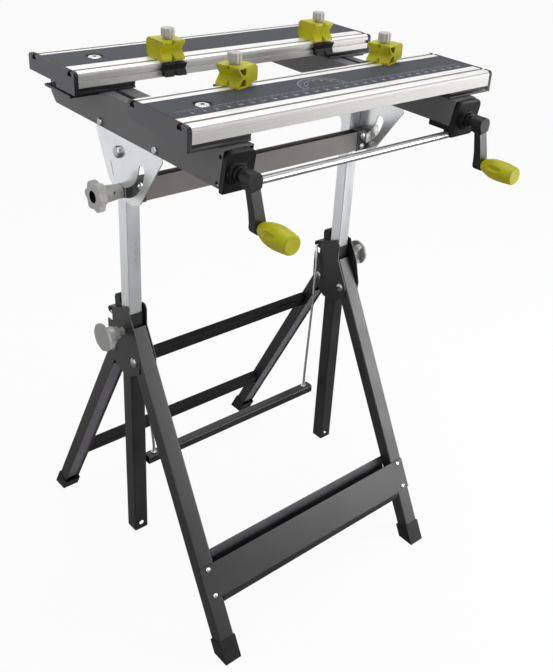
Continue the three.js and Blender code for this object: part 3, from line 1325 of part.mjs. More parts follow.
for (const { side, label } of SIDES) {
  piece(`sleeve_${label}`, sleeve(side), "painted_steel");
  piece(`gusset_${label}`, gusset(side), "painted_steel");
  piece(`column_${label}`, column(side), "zinc");
  piece(`tilt_knob_${label}`, tiltKnob(side), "grey_plastic");
  piece(`height_knob_${label}`, heightKnob(side), "grey_plastic");
  piece(`front_leg_${label}`, leg(side, -1, FRONT_LEG_ABOVE_PIVOT), "painted_steel", frontFold);
  piece(`front_foot_${label}`, foot(side, -1), "black_plastic", frontFold);
  piece(`rear_leg_${label}`, leg(side, 1, REAR_LEG_ABOVE_PIVOT), "painted_steel", rearFold);
  piece(`rear_foot_${label}`, foot(side, 1), "black_plastic", rearFold);
  piece(`release_rod_${label}`, releaseRod(side), "zinc");
  piece(`latch_${label}`, latch(side), "black_plastic");
  piece(`rail_${label}`, rail(side), "painted_steel");
  piece(`tilt_bracket_${label}`, bracket(side), "zinc");
  piece(`front_shoe_${label}`, shoe(side, "front"), "black_plastic");
  piece(`rear_shoe_${label}`, rearShoe(side), "black_plastic");
  piece(`screw_housing_${label}`, housing(side), "black_plastic");
  piece(`vise_screw_${label}`, viseScrew(side), "zinc");
  const onScrew = crankFrame(side);
  piece(`crank_${label}`, crank(), "black_plastic", onScrew);
  piece(`crank_grip_${label}`, grip(), "lime_plastic", onScrew);
}
piece("cross_beam", crossBeam(), "beam_paint");
piece("front_tray", frontTray(), "painted_steel", frontFold);
piece("rear_upper_bar", rearBar(UPPER_BAR_DROP), "painted_steel", rearFold);
piece("rear_lower_bar", rearBar(LOWER_BAR_DROP), "painted_steel", rearFold);
piece("treadle_bar", treadleBar(), "painted_steel");
piece("front_jaw", jaw("front"), "aluminium");
piece("front_panel", jawPanel("front"), "panel");
piece("rear_jaw", jaw("rear"), "aluminium");
piece("rear_panel", jawPanel("rear"), "panel");
piece("tie_rod", tieRod(), "chrome");
for (const dog of DOGS) {
  const onSlot = dogFrame(dog);
  piece(`dog_block_${dog.name}`, dogBlock(), "lime_plastic", onSlot);
  piece(`dog_knob_${dog.name}`, dogKnob(), "grey_plastic", onSlot);
  piece(`dog_pad_${dog.name}`, dogPad(dog), "black_plastic");
}

// The origin lies on the floor under the middle of the whole bench
bench.updateMatrixWorld(true);
const reach = new THREE.Box3().setFromObject(bench);
bench.position.y = -(reach.min.y + reach.max.y) / 2;

export default bench;
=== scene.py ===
"""Looks of a folding workbench with a clamping table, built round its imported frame.

Places are written in bench millimetres: X along the jaws, -Y towards the cranks,
Z up from the floor, with the two columns at Y = 0. The function at() turns them into the frame's metres.
"""
import math

import bpy
from mathutils import Matrix, Vector


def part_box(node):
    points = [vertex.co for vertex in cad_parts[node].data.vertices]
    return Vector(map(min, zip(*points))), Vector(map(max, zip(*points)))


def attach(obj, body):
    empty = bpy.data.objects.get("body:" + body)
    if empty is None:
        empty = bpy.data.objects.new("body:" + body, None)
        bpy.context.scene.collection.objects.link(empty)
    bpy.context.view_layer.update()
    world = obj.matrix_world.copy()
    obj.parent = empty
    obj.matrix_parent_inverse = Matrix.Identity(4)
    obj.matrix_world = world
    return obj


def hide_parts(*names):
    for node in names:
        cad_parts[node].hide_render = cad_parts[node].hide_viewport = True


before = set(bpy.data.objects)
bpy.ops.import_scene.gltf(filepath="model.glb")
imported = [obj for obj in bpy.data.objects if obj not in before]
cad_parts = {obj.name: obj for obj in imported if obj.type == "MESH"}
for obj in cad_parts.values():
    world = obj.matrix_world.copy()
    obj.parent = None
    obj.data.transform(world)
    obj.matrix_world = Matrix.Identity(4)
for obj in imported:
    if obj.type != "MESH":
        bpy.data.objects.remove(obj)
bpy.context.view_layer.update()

MM = 0.001
column_low, column_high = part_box("column_left")
COLUMN_Y = (column_low.y + column_high.y) / 2
SIDES = (("left", -1), ("right", 1))

# Sizes that the pieces share with the frame, in bench millimetres
COLUMN_X = 241
JAW_END = 300
JAW_BOTTOM = 947.6
JAW_TOP = 971.6
JAW_DEPTH = 142
FRONT_FACE = -254.6
REAR_FACE = 32.4
RAIL_OUTER = 258.2
CRANK_X = 237
CRANK_Z = 904
FOLD_Y = 33
FOLD_Z = 489
LEG_ANGLE = math.radians(28)


def at(x, y, z):
    """A place in bench millimetres, as a point of the frame."""
    return Vector((x * MM, y * MM + COLUMN_Y, z * MM))


# Hand tools

def fresh():
    """Starts a step with nothing selected."""
    bpy.ops.object.select_all(action="DESELECT")


def take(piece):
    """Makes a piece the only selected one and the active one."""
    fresh()
    piece.select_set(True)
    bpy.context.view_layer.objects.active = piece
    return piece


def added(name):
    """Names what the last step made."""
    piece = bpy.context.view_layer.objects.active
    piece.name = name
    piece.data.name = name
    return piece


def settle(piece):
    """Applies a piece's place, turn and scale to its mesh."""
    take(piece)
    bpy.ops.object.transform_apply(location=True, rotation=True, scale=True)
    return piece


def outward(piece):
    """Merges doubled points and turns every face outward."""
    take(piece)
    bpy.ops.object.mode_set(mode="EDIT")
    bpy.ops.mesh.select_all(action="SELECT")
    bpy.ops.mesh.remove_doubles(threshold=0.002 * MM)
    bpy.ops.mesh.normals_make_consistent(inside=False)
    bpy.ops.object.mode_set(mode="OBJECT")
    return piece


def apply_modifier(piece, kind, **settings):
    """Adds a modifier and applies it at once."""
    take(piece)
    modifier = piece.modifiers.new(kind.title(), kind)
    for key, value in settings.items():
        setattr(modifier, key, value)
    bpy.ops.object.modifier_apply(modifier=modifier.name)
    return piece


def broken_edges(piece, width, segments=2, angle=35):
    """Rounds over the edges that are sharper than an angle, by a width in millimetres."""
    return apply_modifier(
        piece, "BEVEL", width=width * MM, segments=segments, limit_method="ANGLE",
        angle_limit=math.radians(angle), use_clamp_overlap=True, miter_outer="MITER_ARC",
    )


def smooth(piece, angle=50):
    """Shades softly up to an angle and keeps flat faces flat."""
    take(piece)
    bpy.ops.object.shade_smooth_by_angle(angle=math.radians(angle))
    return apply_modifier(piece, "WEIGHTED_NORMAL", keep_sharp=True)


def joined(name, pieces):
    """Joins pieces into one under a new name."""
    fresh()
    for piece in pieces:
        piece.select_set(True)
    bpy.context.view_layer.objects.active = pieces[0]
    if len(pieces) > 1:
        bpy.ops.object.join()
    return added(name)


def copied(piece, name, shift=(0, 0, 0)):
    """A copy with a mesh of its own, moved by millimetres."""
    take(piece)
    bpy.ops.object.duplicate(linked=False)
    twin = added(name)
    twin.location = Vector(shift) * MM
    return settle(twin)


def swung(piece, origin, axis, degrees):
    """Turns a piece about an axis through a point."""
    turn = Matrix.Rotation(math.radians(degrees), 4, axis)
    piece.matrix_world = Matrix.Translation(origin) @ turn @ Matrix.Translation(-origin)
    return settle(piece)


def arc(a, b, radius, start, end, steps=8):
    """Points along a part of a circle, angles in degrees."""
    angles = [math.radians(start + (end - start) * k / steps) for k in range(steps + 1)]
    return [(a + radius * math.cos(angle), b + radius * math.sin(angle)) for angle in angles]


def repainted(piece, look, test):
    """Gives the faces that pass the test another finish."""
    piece.data.materials.append(look[0])
    for face in piece.data.polygons:
        if test(face):
            face.material_index = len(piece.data.materials) - 1
    return piece


def boolean(piece, tool, operation):
    """Works a piece with a tool that is used up by it."""
    apply_modifier(piece, "BOOLEAN", object=tool, operation=operation, solver="EXACT")
    bpy.data.objects.remove(tool)
    return piece


def fused(piece, *others):
    """Joins other solids onto a piece."""
    for other in others:
        boolean(piece, other, "UNION")
    return piece


def carved(piece, *tools):
    """Cuts tools out of a piece."""
    for tool in tools:
        boolean(piece, tool, "DIFFERENCE")
    return piece


def along(axis):
    """The turn that brings Z onto an axis."""
    return Vector(axis).to_track_quat("Z", "Y").to_euler()


def turned(name, origin, axis, profile, steps=48, lobes=0, dip=0.0):
    """A lathed form. Profile rows are (radius, distance along the axis); lobes pinch the outline in between."""
    fresh()
    radius, height = profile[0]
    bpy.ops.mesh.primitive_circle_add(vertices=steps, radius=radius * MM, fill_type="NGON", location=(0, 0, 0))
    piece = added(name)
    if lobes:
        for vertex in piece.data.vertices:
            wave = (1 - math.cos(lobes * math.atan2(vertex.co.y, vertex.co.x))) / 2
            vertex.co *= 1 - dip * wave
    bpy.ops.object.mode_set(mode="EDIT")
    for next_radius, next_height in profile[1:]:
        bpy.ops.mesh.extrude_region_move(TRANSFORM_OT_translate={"value": (0, 0, (next_height - height) * MM)})
        scale = next_radius / radius
        bpy.ops.transform.resize(value=(scale, scale, 1), center_override=(0, 0, 0))
        radius, height = next_radius, next_height
    bpy.ops.object.mode_set(mode="OBJECT")
    direction = Vector(axis).normalized()
    piece.rotation_euler = along(axis)
    piece.location = Vector(origin) + direction * profile[0][1] * MM
    return outward(settle(piece))


AXES = {
    "X": Matrix(((0, 0, 1, 0), (1, 0, 0, 0), (0, 1, 0, 0), (0, 0, 0, 1))),
    "Y": Matrix(((1, 0, 0, 0), (0, 0, 1, 0), (0, 1, 0, 0), (0, 0, 0, 1))),
    "Z": Matrix.Identity(4),
}


def drawn(name, outline, start, end, axis="X"):
    """An outline pushed along an axis: its points are (Y, Z), (X, Z) or (X, Y) in bench millimetres."""
    fresh()
    bpy.ops.mesh.primitive_circle_add(vertices=len(outline), radius=1, fill_type="NGON", location=(0, 0, 0))
    piece = added(name)
    for vertex, (a, b) in zip(piece.data.vertices, outline):
        vertex.co = Vector((a, b, start)) * MM
    bpy.ops.object.mode_set(mode="EDIT")
    bpy.ops.mesh.extrude_region_move(TRANSFORM_OT_translate={"value": (0, 0, (end - start) * MM)})
    bpy.ops.object.mode_set(mode="OBJECT")
    piece.data.transform(AXES[axis])
    piece.location = (0, COLUMN_Y, 0)
    return outward(settle(piece))


def block(name, x0, x1, y0, y1, z0, z1):
    """A square blank between two corners, in bench millimetres."""
    fresh()
    middle = at((x0 + x1) / 2, (y0 + y1) / 2, (z0 + z1) / 2)
    bpy.ops.mesh.primitive_cube_add(size=1, location=middle)
    piece = added(name)
    piece.scale = Vector((abs(x1 - x0), abs(y1 - y0), abs(z1 - z0))) * MM
    return settle(piece)


def rod(name, points, diameter, resolution=6):
    """A round wire bent through points."""
    fresh()
    bpy.ops.curve.primitive_bezier_curve_add(location=(0, 0, 0))
    piece = added(name)
    curve = piece.data
    curve.splines.clear()
    spline = curve.splines.new("BEZIER")
    spline.bezier_points.add(len(points) - 1)
    for place, point in zip(spline.bezier_points, points):
        place.co = at(*point)
        place.handle_left_type = place.handle_right_type = "AUTO"
    spline.resolution_u = resolution
    curve.bevel_depth = diameter / 2 * MM
    curve.bevel_resolution = 4
    curve.use_fill_caps = True
    take(piece)
    bpy.ops.object.convert(target="MESH")
    return outward(added(name))


def threaded(name, origin, axis, length, root, crest, pitch, steps=20):
    """A screw thread wound from one tooth of its profile."""
    fresh()
    bpy.ops.mesh.primitive_plane_add(size=1, location=(0, 0, 0))
    piece = added(name)
    bpy.ops.object.mode_set(mode="EDIT")
    bpy.ops.mesh.select_all(action="SELECT")
    bpy.ops.mesh.merge(type="CENTER")
    bpy.ops.transform.translate(value=(root * MM, 0, 0))
    rise = crest - root
    for out, share in ((0, 0.2), (rise, 0.2), (0, 0.2), (-rise, 0.2), (0, 0.2)):
        bpy.ops.mesh.extrude_region_move(TRANSFORM_OT_translate={"value": (out * MM, 0, share * pitch * MM)})
    bpy.ops.object.mode_set(mode="OBJECT")
    apply_modifier(
        piece, "SCREW", axis="Z", angle=2 * math.pi, screw_offset=pitch * MM, iterations=int(length / pitch),
        steps=steps, render_steps=steps, use_merge_vertices=True, merge_threshold=0.01 * MM,
    )
    bpy.ops.object.mode_set(mode="EDIT")
    bpy.ops.mesh.select_all(action="SELECT")
    bpy.ops.mesh.remove_doubles(threshold=0.01 * MM)
    bpy.ops.mesh.fill_holes(sides=0)
    bpy.ops.object.mode_set(mode="OBJECT")
    piece.rotation_euler = along(axis)
    piece.location = origin
    return outward(settle(piece))


def dressed(node, edge, segments=2, angle=35):
    """A copy of a frame piece with its loose triangles merged and, where a width is given, its edges broken."""
    fresh()
    piece = bpy.data.objects.new(node + "_dressed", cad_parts[node].data.copy())
    bpy.context.scene.collection.objects.link(piece)
    take(piece)
    bpy.ops.mesh.customdata_custom_splitnormals_clear()
    bpy.ops.object.mode_set(mode="EDIT")
    bpy.ops.mesh.select_all(action="SELECT")
    bpy.ops.mesh.remove_doubles(threshold=0.01 * MM)
    bpy.ops.mesh.dissolve_limited(angle_limit=math.radians(0.5))
    bpy.ops.object.mode_set(mode="OBJECT")
    piece.data.materials.clear()
    if edge:
        broken_edges(piece, edge, segments, angle)
    return smooth(piece)


def put(piece, body, look, *nodes):
    """Gives a piece its finish, its body and the frame pieces that it stands for."""
    material, slot = look
    if not piece.data.materials:
        piece.data.materials.append(material)
    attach(piece, body)
    if nodes:
        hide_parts(*nodes)
    return piece


# Finishes

def tone(code):
    """A colour from its six-figure screen code."""
    channels = [int(code[i:i + 2], 16) / 255 for i in (0, 2, 4)]
    return tuple(c / 12.92 if c <= 0.04045 else ((c + 0.055) / 1.055) ** 2.4 for c in channels) + (1.0,)


def finish(name, slot, dark, light, rough, metal=0.0, clouds=30, stretch=(1, 1, 1), grain=900, depth=0.02,
           coat=0.0, specular=0.5):
    """A finish whose tone and gloss drift in soft clouds and whose surface has a fine grain."""
    material = bpy.data.materials.new(name)
    material.use_nodes = True
    nodes, links = material.node_tree.nodes, material.node_tree.links
    shader = nodes["Principled BSDF"]
    shader.inputs["Metallic"].default_value = metal
    shader.inputs["Coat Weight"].default_value = coat
    shader.inputs["Coat Roughness"].default_value = 0.25
    shader.inputs["Specular IOR Level"].default_value = specular
    coordinates = nodes.new("ShaderNodeTexCoord")
    mapping = nodes.new("ShaderNodeMapping")
    mapping.inputs["Scale"].default_value = stretch
    links.new(coordinates.outputs["Object"], mapping.inputs["Vector"])
    cloud = nodes.new("ShaderNodeTexNoise")
    cloud.inputs["Scale"].default_value = clouds
    cloud.inputs["Detail"].default_value = 5
    links.new(mapping.outputs["Vector"], cloud.inputs["Vector"])
    ramp = nodes.new("ShaderNodeValToRGB")
    ramp.color_ramp.elements[0].position = 0.3
    ramp.color_ramp.elements[0].color = tone(dark)
    ramp.color_ramp.elements[1].position = 0.7
    ramp.color_ramp.elements[1].color = tone(light)
    links.new(cloud.outputs["Fac"], ramp.inputs["Fac"])
    links.new(ramp.outputs["Color"], shader.inputs["Base Color"])
    gloss = nodes.new("ShaderNodeMapRange")
    gloss.inputs["From Min"].default_value = 0.3
    gloss.inputs["From Max"].default_value = 0.7
    gloss.inputs["To Min"].default_value = rough[0]
    gloss.inputs["To Max"].default_value = rough[1]
    links.new(cloud.outputs["Fac"], gloss.inputs["Value"])
    links.new(gloss.outputs["Result"], shader.inputs["Roughness"])
    grains = nodes.new("ShaderNodeTexNoise")
    grains.inputs["Scale"].default_value = grain
    grains.inputs["Detail"].default_value = 3
    links.new(mapping.outputs["Vector"], grains.inputs["Vector"])
    bump = nodes.new("ShaderNodeBump")
    bump.inputs["Strength"].default_value = 0.5
    bump.inputs["Distance"].default_value = depth * MM
    links.new(grains.outputs["Fac"], bump.inputs["Height"])
    links.new(bump.outputs["Normal"], shader.inputs["Normal"])
    return material, slot


ALUMINIUM = finish("drawn_aluminium", "satin_aluminium", "ecebea", "f4f3f2", (0.36, 0.46), metal=0.6, clouds=6,
                   stretch=(0.6, 40, 40), grain=60, depth=0.03)
# A darker, rougher copy of the aluminium for the jaws' front faces: painted shade that holds down the key lamp's
# reflection there
ALUMINIUM_FRONT_PAINTED_SHADE = finish("drawn_aluminium_front_painted_shade", "satin_aluminium", "a8a7a5", "b4b3b1", (0.55, 0.64), metal=0.8,
                        clouds=6, stretch=(0.6, 40, 40), grain=60, depth=0.03)
PANEL = finish("charcoal_laminate", "charcoal_panel", "3c3e46", "44464e", (0.50, 0.62), clouds=220, grain=2600,
               depth=0.04, specular=0.14)
BLACK = finish("black_moulding", "black_plastic", "131314", "1a1a1b", (0.40, 0.52), clouds=60, grain=1800, depth=0.05,
               specular=0.3)
HOUSING = finish("housing_moulding", "black_plastic", "111112", "171718", (0.44, 0.54), clouds=60, grain=1800,
                 depth=0.05, specular=0.2)
# A lighter, glossier copy of the crank's black: painted light for the arm's lit front
CRANK_ARM_PAINTED_LIGHT = finish("crank_arm_painted_light", "black_plastic", "222223", "2b2b2c", (0.36, 0.48), clouds=60, grain=1800, depth=0.05,
               specular=0.6)
GRAPHITE = finish("graphite_moulding", "black_plastic", "58585b", "616164", (0.5, 0.62), clouds=60, grain=1800,
                  depth=0.05)
PAINT = finish("charcoal_stove_paint", "charcoal_paint", "1b1919", "252323", (0.36, 0.46), clouds=14, grain=520,
               depth=0.05, specular=0.62)
# A lighter copy of the charcoal paint: painted light for the shaded insides of the rear legs' channels, the tray's back
# wall and its rim
CHANNEL_PAINTED_LIGHT = finish("channel_painted_light", "charcoal_paint", "4c4a4e", "57555a", (0.45, 0.55), clouds=14, grain=520,
                   depth=0.05, specular=0.4)
# A much lighter copy of the charcoal paint for the rear legs' webs: painted light
LEG_WEB_PAINTED_LIGHT = finish("leg_web_painted_light", "charcoal_paint", "5e5b60", "69666b", (0.42, 0.52), clouds=14, grain=520,
                 depth=0.05)
BAR_PAINT = finish("bar_stove_paint", "charcoal_paint", "0f0f10", "161617", (0.40, 0.50), clouds=14, grain=520,
                   depth=0.05, specular=0.14)
RAIL_PAINT = finish("rail_stove_paint", "charcoal_paint", "555557", "5e5e60", (0.42, 0.54), clouds=14, grain=520,
                    depth=0.05, coat=0.1)
BEAM_PAINT = finish("beam_stove_paint", "brown_grey_paint", "65615f", "6e6a67", (0.42, 0.54), clouds=14, grain=520,
                    depth=0.05, coat=0.1)
ZINC = finish("bright_zinc_plate", "bright_zinc", "d6d8da", "e8eaeb", (0.18, 0.30), metal=0.95, clouds=18, grain=300,
              depth=0.02)
COLUMN_ZINC = finish("zinc_tube", "bright_zinc", "e0e3e5", "eceeef", (0.26, 0.40), metal=0.75, clouds=10,
                     stretch=(3, 3, 0.6), grain=200, depth=0.02)
GREY = finish("grey_moulding", "grey_plastic", "b0afac", "bcbbb8", (0.34, 0.46), clouds=60, grain=1800, depth=0.05)
MID_GREY = finish("mid_grey_moulding", "grey_plastic", "a09f9c", "acaba8", (0.36, 0.48), clouds=60, grain=1800,
                  depth=0.05)
PALE_GREY = finish("pale_grey_moulding", "grey_plastic", "b4b2ac", "c0beb8", (0.42, 0.54), clouds=60, grain=1800,
                   depth=0.05)
LIME = finish("lime_moulding", "lime_plastic", "aca904", "b8b40a", (0.32, 0.44), clouds=45, grain=1500, depth=0.04,
              specular=0.3)
CHROME = finish("bright_chrome", "bright_chrome", "c6c7c8", "d2d2d2", (0.28, 0.34), metal=1.0, clouds=20, grain=200,
                depth=0.001)
BOLT = finish("plated_bolt", "bright_zinc", "a4a5a6", "b2b3b4", (0.10, 0.16), metal=1.0, clouds=40, grain=300,
              depth=0.002)
# Dark steel for the rod nuts, and painted shade in the tilt knobs' sunk outer faces and the panel screws' sockets
DARK_STEEL_AND_SHADE = finish("dark_steel_and_painted_shade", "charcoal_paint", "111112", "18181a", (0.4, 0.5), metal=0.3, clouds=60, grain=900,
                    depth=0.02, specular=0.2)
# Painted shade: a darker paint for the beam's ends next to the columns
BEAM_END_PAINTED_SHADE = finish("beam_end_painted_shade", "brown_grey_paint", "262526", "302f30", (0.4, 0.5), clouds=20, grain=520,
                  depth=0.04)
PRINT = finish("pale_scale_print", "grey_plastic", "a6a7ad", "b6b7bd", (0.6, 0.7), clouds=300, grain=2600, depth=0.01)

# As shares of the head's radius and height
HEAD_PROFILE = ((1.02, -0.1), (1.02, 0.4), (0.97, 0.62), (0.86, 0.86), (0.66, 1.03), (0.36, 1.1), (0.1, 1.12))


def head(name, origin, axis, diameter, height, look, body):
    """A domed rivet or bolt head on a frame piece."""
    profile = [(r * diameter / 2, h * height) for r, h in HEAD_PROFILE]
    return put(smooth(turned(name, origin, axis, profile, steps=28), 40), body, look)


# Uprights
SLEEVE_HOLE_Z = 106.6
SLEEVE_HOLE_RADIUS = 5
SLEEVE_DRILL_REACH = 20      # past both walls of the sleeve
PIN_FACE = 17.8              # from the column's middle to the gusset's outer skin
PIN_HEAD = (17, 4.5)         # heads are (diameter, height)
TILT_PIVOT_Z = 853
TILT_BOLT_X = 256.5
TILT_BOLT_HEAD = (19, 6)
BEAM_BOLT_Y = -33.8
BEAM_BOLTS = (("lower", 786), ("upper", 806))
BEAM_BOLT_HEAD = (11, 4)
BEAM_END_X = 229             # beyond it the beam's ends have a darker paint, painted shade from the columns


def uprights():
    """Sleeves, gussets, columns and the cross beam, with their pins and bolts."""
    for label, side in SIDES:
        tube = dressed(f"sleeve_{label}", 0.4)
        drill = turned(f"sleeve_drill_{label}", at(side * COLUMN_X, -SLEEVE_DRILL_REACH, SLEEVE_HOLE_Z), (0, 1, 0),
                       [(SLEEVE_HOLE_RADIUS, 0), (SLEEVE_HOLE_RADIUS, 2 * SLEEVE_DRILL_REACH)])
        put(smooth(carved(tube, drill)), "stand", PAINT, f"sleeve_{label}")
        put(dressed(f"gusset_{label}", 0.5), "stand", PAINT, f"gusset_{label}")
        put(dressed(f"column_{label}", 0.8, 3), "lift", COLUMN_ZINC, f"column_{label}")
        for place, y in (("front", -FOLD_Y), ("rear", FOLD_Y)):
            for skin, out in (("outer", 1), ("inner", -1)):
                x = side * (COLUMN_X + out * PIN_FACE)
                head(f"leg_pin_{label}_{place}_{skin}", at(x, y, FOLD_Z), (side * out, 0, 0), *PIN_HEAD, BOLT, "stand")
        head(f"tilt_bolt_{label}", at(side * TILT_BOLT_X, 0, TILT_PIVOT_Z), (side, 0, 0), *TILT_BOLT_HEAD, BOLT, "lift")
        for place, z in BEAM_BOLTS:
            spot = at(side * COLUMN_X, BEAM_BOLT_Y, z)
            head(f"beam_bolt_{label}_{place}", spot, (0, -1, 0), *BEAM_BOLT_HEAD, ZINC, "lift")
    beam = put(dressed("cross_beam", 0.5), "lift", BEAM_PAINT, "cross_beam")
    # painted shade: the beam's ends by the columns are painted darker
    repainted(beam, BEAM_END_PAINTED_SHADE, lambda face: abs(face.center.x) > BEAM_END_X * MM)


# Lock knobs, whose profiles are (radius, distance from the seat)
TILT_KNOB_X, TILT_KNOB_Z = 256.2, 789
TILT_STAR = [(22.6, 34), (24.6, 34.6), (25.5, 36), (25.5, 45.6), (25.0, 47.0), (23.8, 48)]
TILT_STAR_LOBES, TILT_STAR_DIP = 6, 0.2
TILT_HUB = [(10.9, 1.5), (11.5, 2.4), (13.4, 19), (13.5, 21), (13.5, 36)]
TILT_WASHER = [(11.6, 0), (12, 0.4), (12, 1.6), (11.6, 2)]
TILT_BORE = [(9.4, 37), (10, 38), (10, 50)]
TILT_BORE_REACH = 10.02
TILT_BORE_FROM, TILT_BORE_TO = 36, 47.9
PINHOLE_OUT = 17
PINHOLE = [(2.3, 9), (2.3, 16)]
PINHOLE_AXIS = (0, -1, 0.35)
HEIGHT_KNOB_X, HEIGHT_KNOB_Z = 259.1, 536
HEIGHT_DISC = [(22.5, 35.6), (24.4, 36.2), (25, 37.4), (25, 39.6), (24.2, 41.2), (22.4, 42)]
HEIGHT_DISC_LOBES, HEIGHT_DISC_DIP = 8, 0.025
HEIGHT_DISC_BACK = 35
HEIGHT_HUB = [(9.6, 10), (11, 11.4), (11, 37)]
HEIGHT_NECK = [(6.5, 0), (6.5, 11)]
FIN_OUTLINE = ((14, 4), (14, 10), (17, 13), (24, 20.5), (27, 22.8), (37, 23.4), (37, 4))      # (out, reach)
FIN_HALF = 5.5


def in_tilt_bore(offset):
    """Whether a spot, measured from the knob's seat, lies on the walls or floor of the sunk outer face."""
    within = TILT_BORE_FROM * MM < abs(offset.x) < TILT_BORE_TO * MM
    return within and math.hypot(offset.y, offset.z) < TILT_BORE_REACH * MM


def tilt_knob(label, side):
    """A six-lobed star on a long hub with a washer, its outer face sunk round the screw."""
    start, axis = at(side * TILT_KNOB_X, 0, TILT_KNOB_Z), (side, 0, 0)
    star = turned(f"tilt_star_{label}", start, axis, TILT_STAR, 96, TILT_STAR_LOBES, TILT_STAR_DIP)
    hub = turned(f"tilt_hub_{label}", start, axis, TILT_HUB)
    washer = turned(f"tilt_washer_{label}", start, axis, TILT_WASHER)
    bore = turned(f"tilt_bore_{label}", start, axis, TILT_BORE)
    pinhole = turned(f"tilt_pinhole_{label}", at(side * (TILT_KNOB_X + PINHOLE_OUT), 0, TILT_KNOB_Z), PINHOLE_AXIS,
                     PINHOLE, 20)
    knob = joined(f"tilt_knob_{label}_turned", [carved(fused(star, hub, washer), bore, pinhole)])
    put(smooth(knob, 40), f"{label}_tilt_knob", GREY, f"tilt_knob_{label}")
    # painted shade: the walls and floor of the sunk outer face are painted dark
    repainted(knob, DARK_STEEL_AND_SHADE, lambda face: in_tilt_bore(face.center - start))


def height_knob(label, side):
    """A scalloped disc on a hub, stiffened behind by three rounded fins."""
    start, axis = at(side * HEIGHT_KNOB_X, 0, HEIGHT_KNOB_Z), (side, 0, 0)
    disc = turned(f"height_disc_{label}", start, axis, HEIGHT_DISC, 96, HEIGHT_DISC_LOBES, HEIGHT_DISC_DIP)
    hub = turned(f"height_hub_{label}", start, axis, HEIGHT_HUB)
    neck = turned(f"height_neck_{label}", start, axis, HEIGHT_NECK)
    outline = [(side * (HEIGHT_KNOB_X + out), reach) for out, reach in FIN_OUTLINE]
    fin = drawn(f"height_fin_{label}", outline, HEIGHT_KNOB_Z - FIN_HALF, HEIGHT_KNOB_Z + FIN_HALF, "Z")
    broken_edges(fin, 2.6, 3)
    fins = [swung(copied(fin, f"height_fin_{label}_{turn}"), start, "X", turn) for turn in (120, 240)]
    knob = fused(disc, hub, fin, *fins, neck)
    knob = smooth(joined(f"height_knob_{label}_turned", [knob]), 40)
    put(knob, f"{label}_height_knob", MID_GREY, f"height_knob_{label}")
    # painted light: the hub and fins behind the disc get a lighter grey than the disc, though they are one moulding
    repainted(knob, GREY, lambda face: side * face.center.x < (HEIGHT_KNOB_X + HEIGHT_DISC_BACK) * MM)


# Legs, tray and bars
# Drops are measured down the leg from its pivot, fronts and backs from the leg's middle
CHANNEL_HALF = 14.6
BAR_REACH = COLUMN_X - 15.8
BAR_BACK = 13.5
UPPER_BAR_DROP, LOWER_BAR_DROP = 92, 408
UPPER_BAR_FRONT, LOWER_BAR_FRONT = -1.8, -7.5      # the upper bar clears the release rods when folded
UPPER_BAR_HEIGHT, LOWER_BAR_HEIGHT = 31, 24
WEB_HALF = 14.1
WEB_FRONT, WEB_BACK = -8, -6.6
WEB_TOP_DROP, WEB_BOTTOM_DROP = 52, 516
RIM_REACH = COLUMN_X - 9
RIM_FRONT, RIM_BACK = 11.4, 13
RIM_TOP_DROP, RIM_BOTTOM_DROP = 366, 384
TRAY_RIVET_OUT = -15.9
TRAY_RIVETS = (("upper", -387), ("lower", -436))
TRAY_RIVET_HEAD = (9, 2.4)


def on_front_leg(x, y, z):
    """A point of the front legs' own frame: Z up the leg, Y square to its web."""
    cos, sin = math.cos(LEG_ANGLE), math.sin(LEG_ANGLE)
    return at(x, -FOLD_Y + y * cos + z * sin, FOLD_Z - y * sin + z * cos)


def in_channel(face, side):
    """Whether a face of a leg looks towards the leg's own middle, inside its channel."""
    inward = side * COLUMN_X * MM - face.center.x
    return abs(inward) < CHANNEL_HALF * MM and (abs(face.normal.x) < 0.5 or face.normal.x * inward > 0)


def rear_bar(name, drop, front, height):
    """A tube between the rear legs, leaning with them."""
    z = FOLD_Z - drop
    bar = block(f"{name}_tube", -BAR_REACH, BAR_REACH, FOLD_Y + front, FOLD_Y + BAR_BACK, z - height / 2,
                z + height / 2)
    broken_edges(bar, 2.2, 4)
    swung(bar, at(0, FOLD_Y, FOLD_Z), "X", math.degrees(LEG_ANGLE))
    put(smooth(bar, 40), "rear_legs", BAR_PAINT, name)


def leg_web(label, side):
    """The web that closes a rear leg's channel, set back between its flanges, in a lighter paint that is painted light.
    """
    middle = side * COLUMN_X
    web = block(f"rear_leg_web_{label}", middle - WEB_HALF, middle + WEB_HALF, FOLD_Y + WEB_FRONT, FOLD_Y + WEB_BACK,
                FOLD_Z - WEB_BOTTOM_DROP, FOLD_Z - WEB_TOP_DROP)
    broken_edges(web, 0.4)
    swung(web, at(0, FOLD_Y, FOLD_Z), "X", math.degrees(LEG_ANGLE))
    # painted light: the web gets the lighter paint although it lies inside the shaded channel
    put(smooth(web, 40), "rear_legs", LEG_WEB_PAINTED_LIGHT)


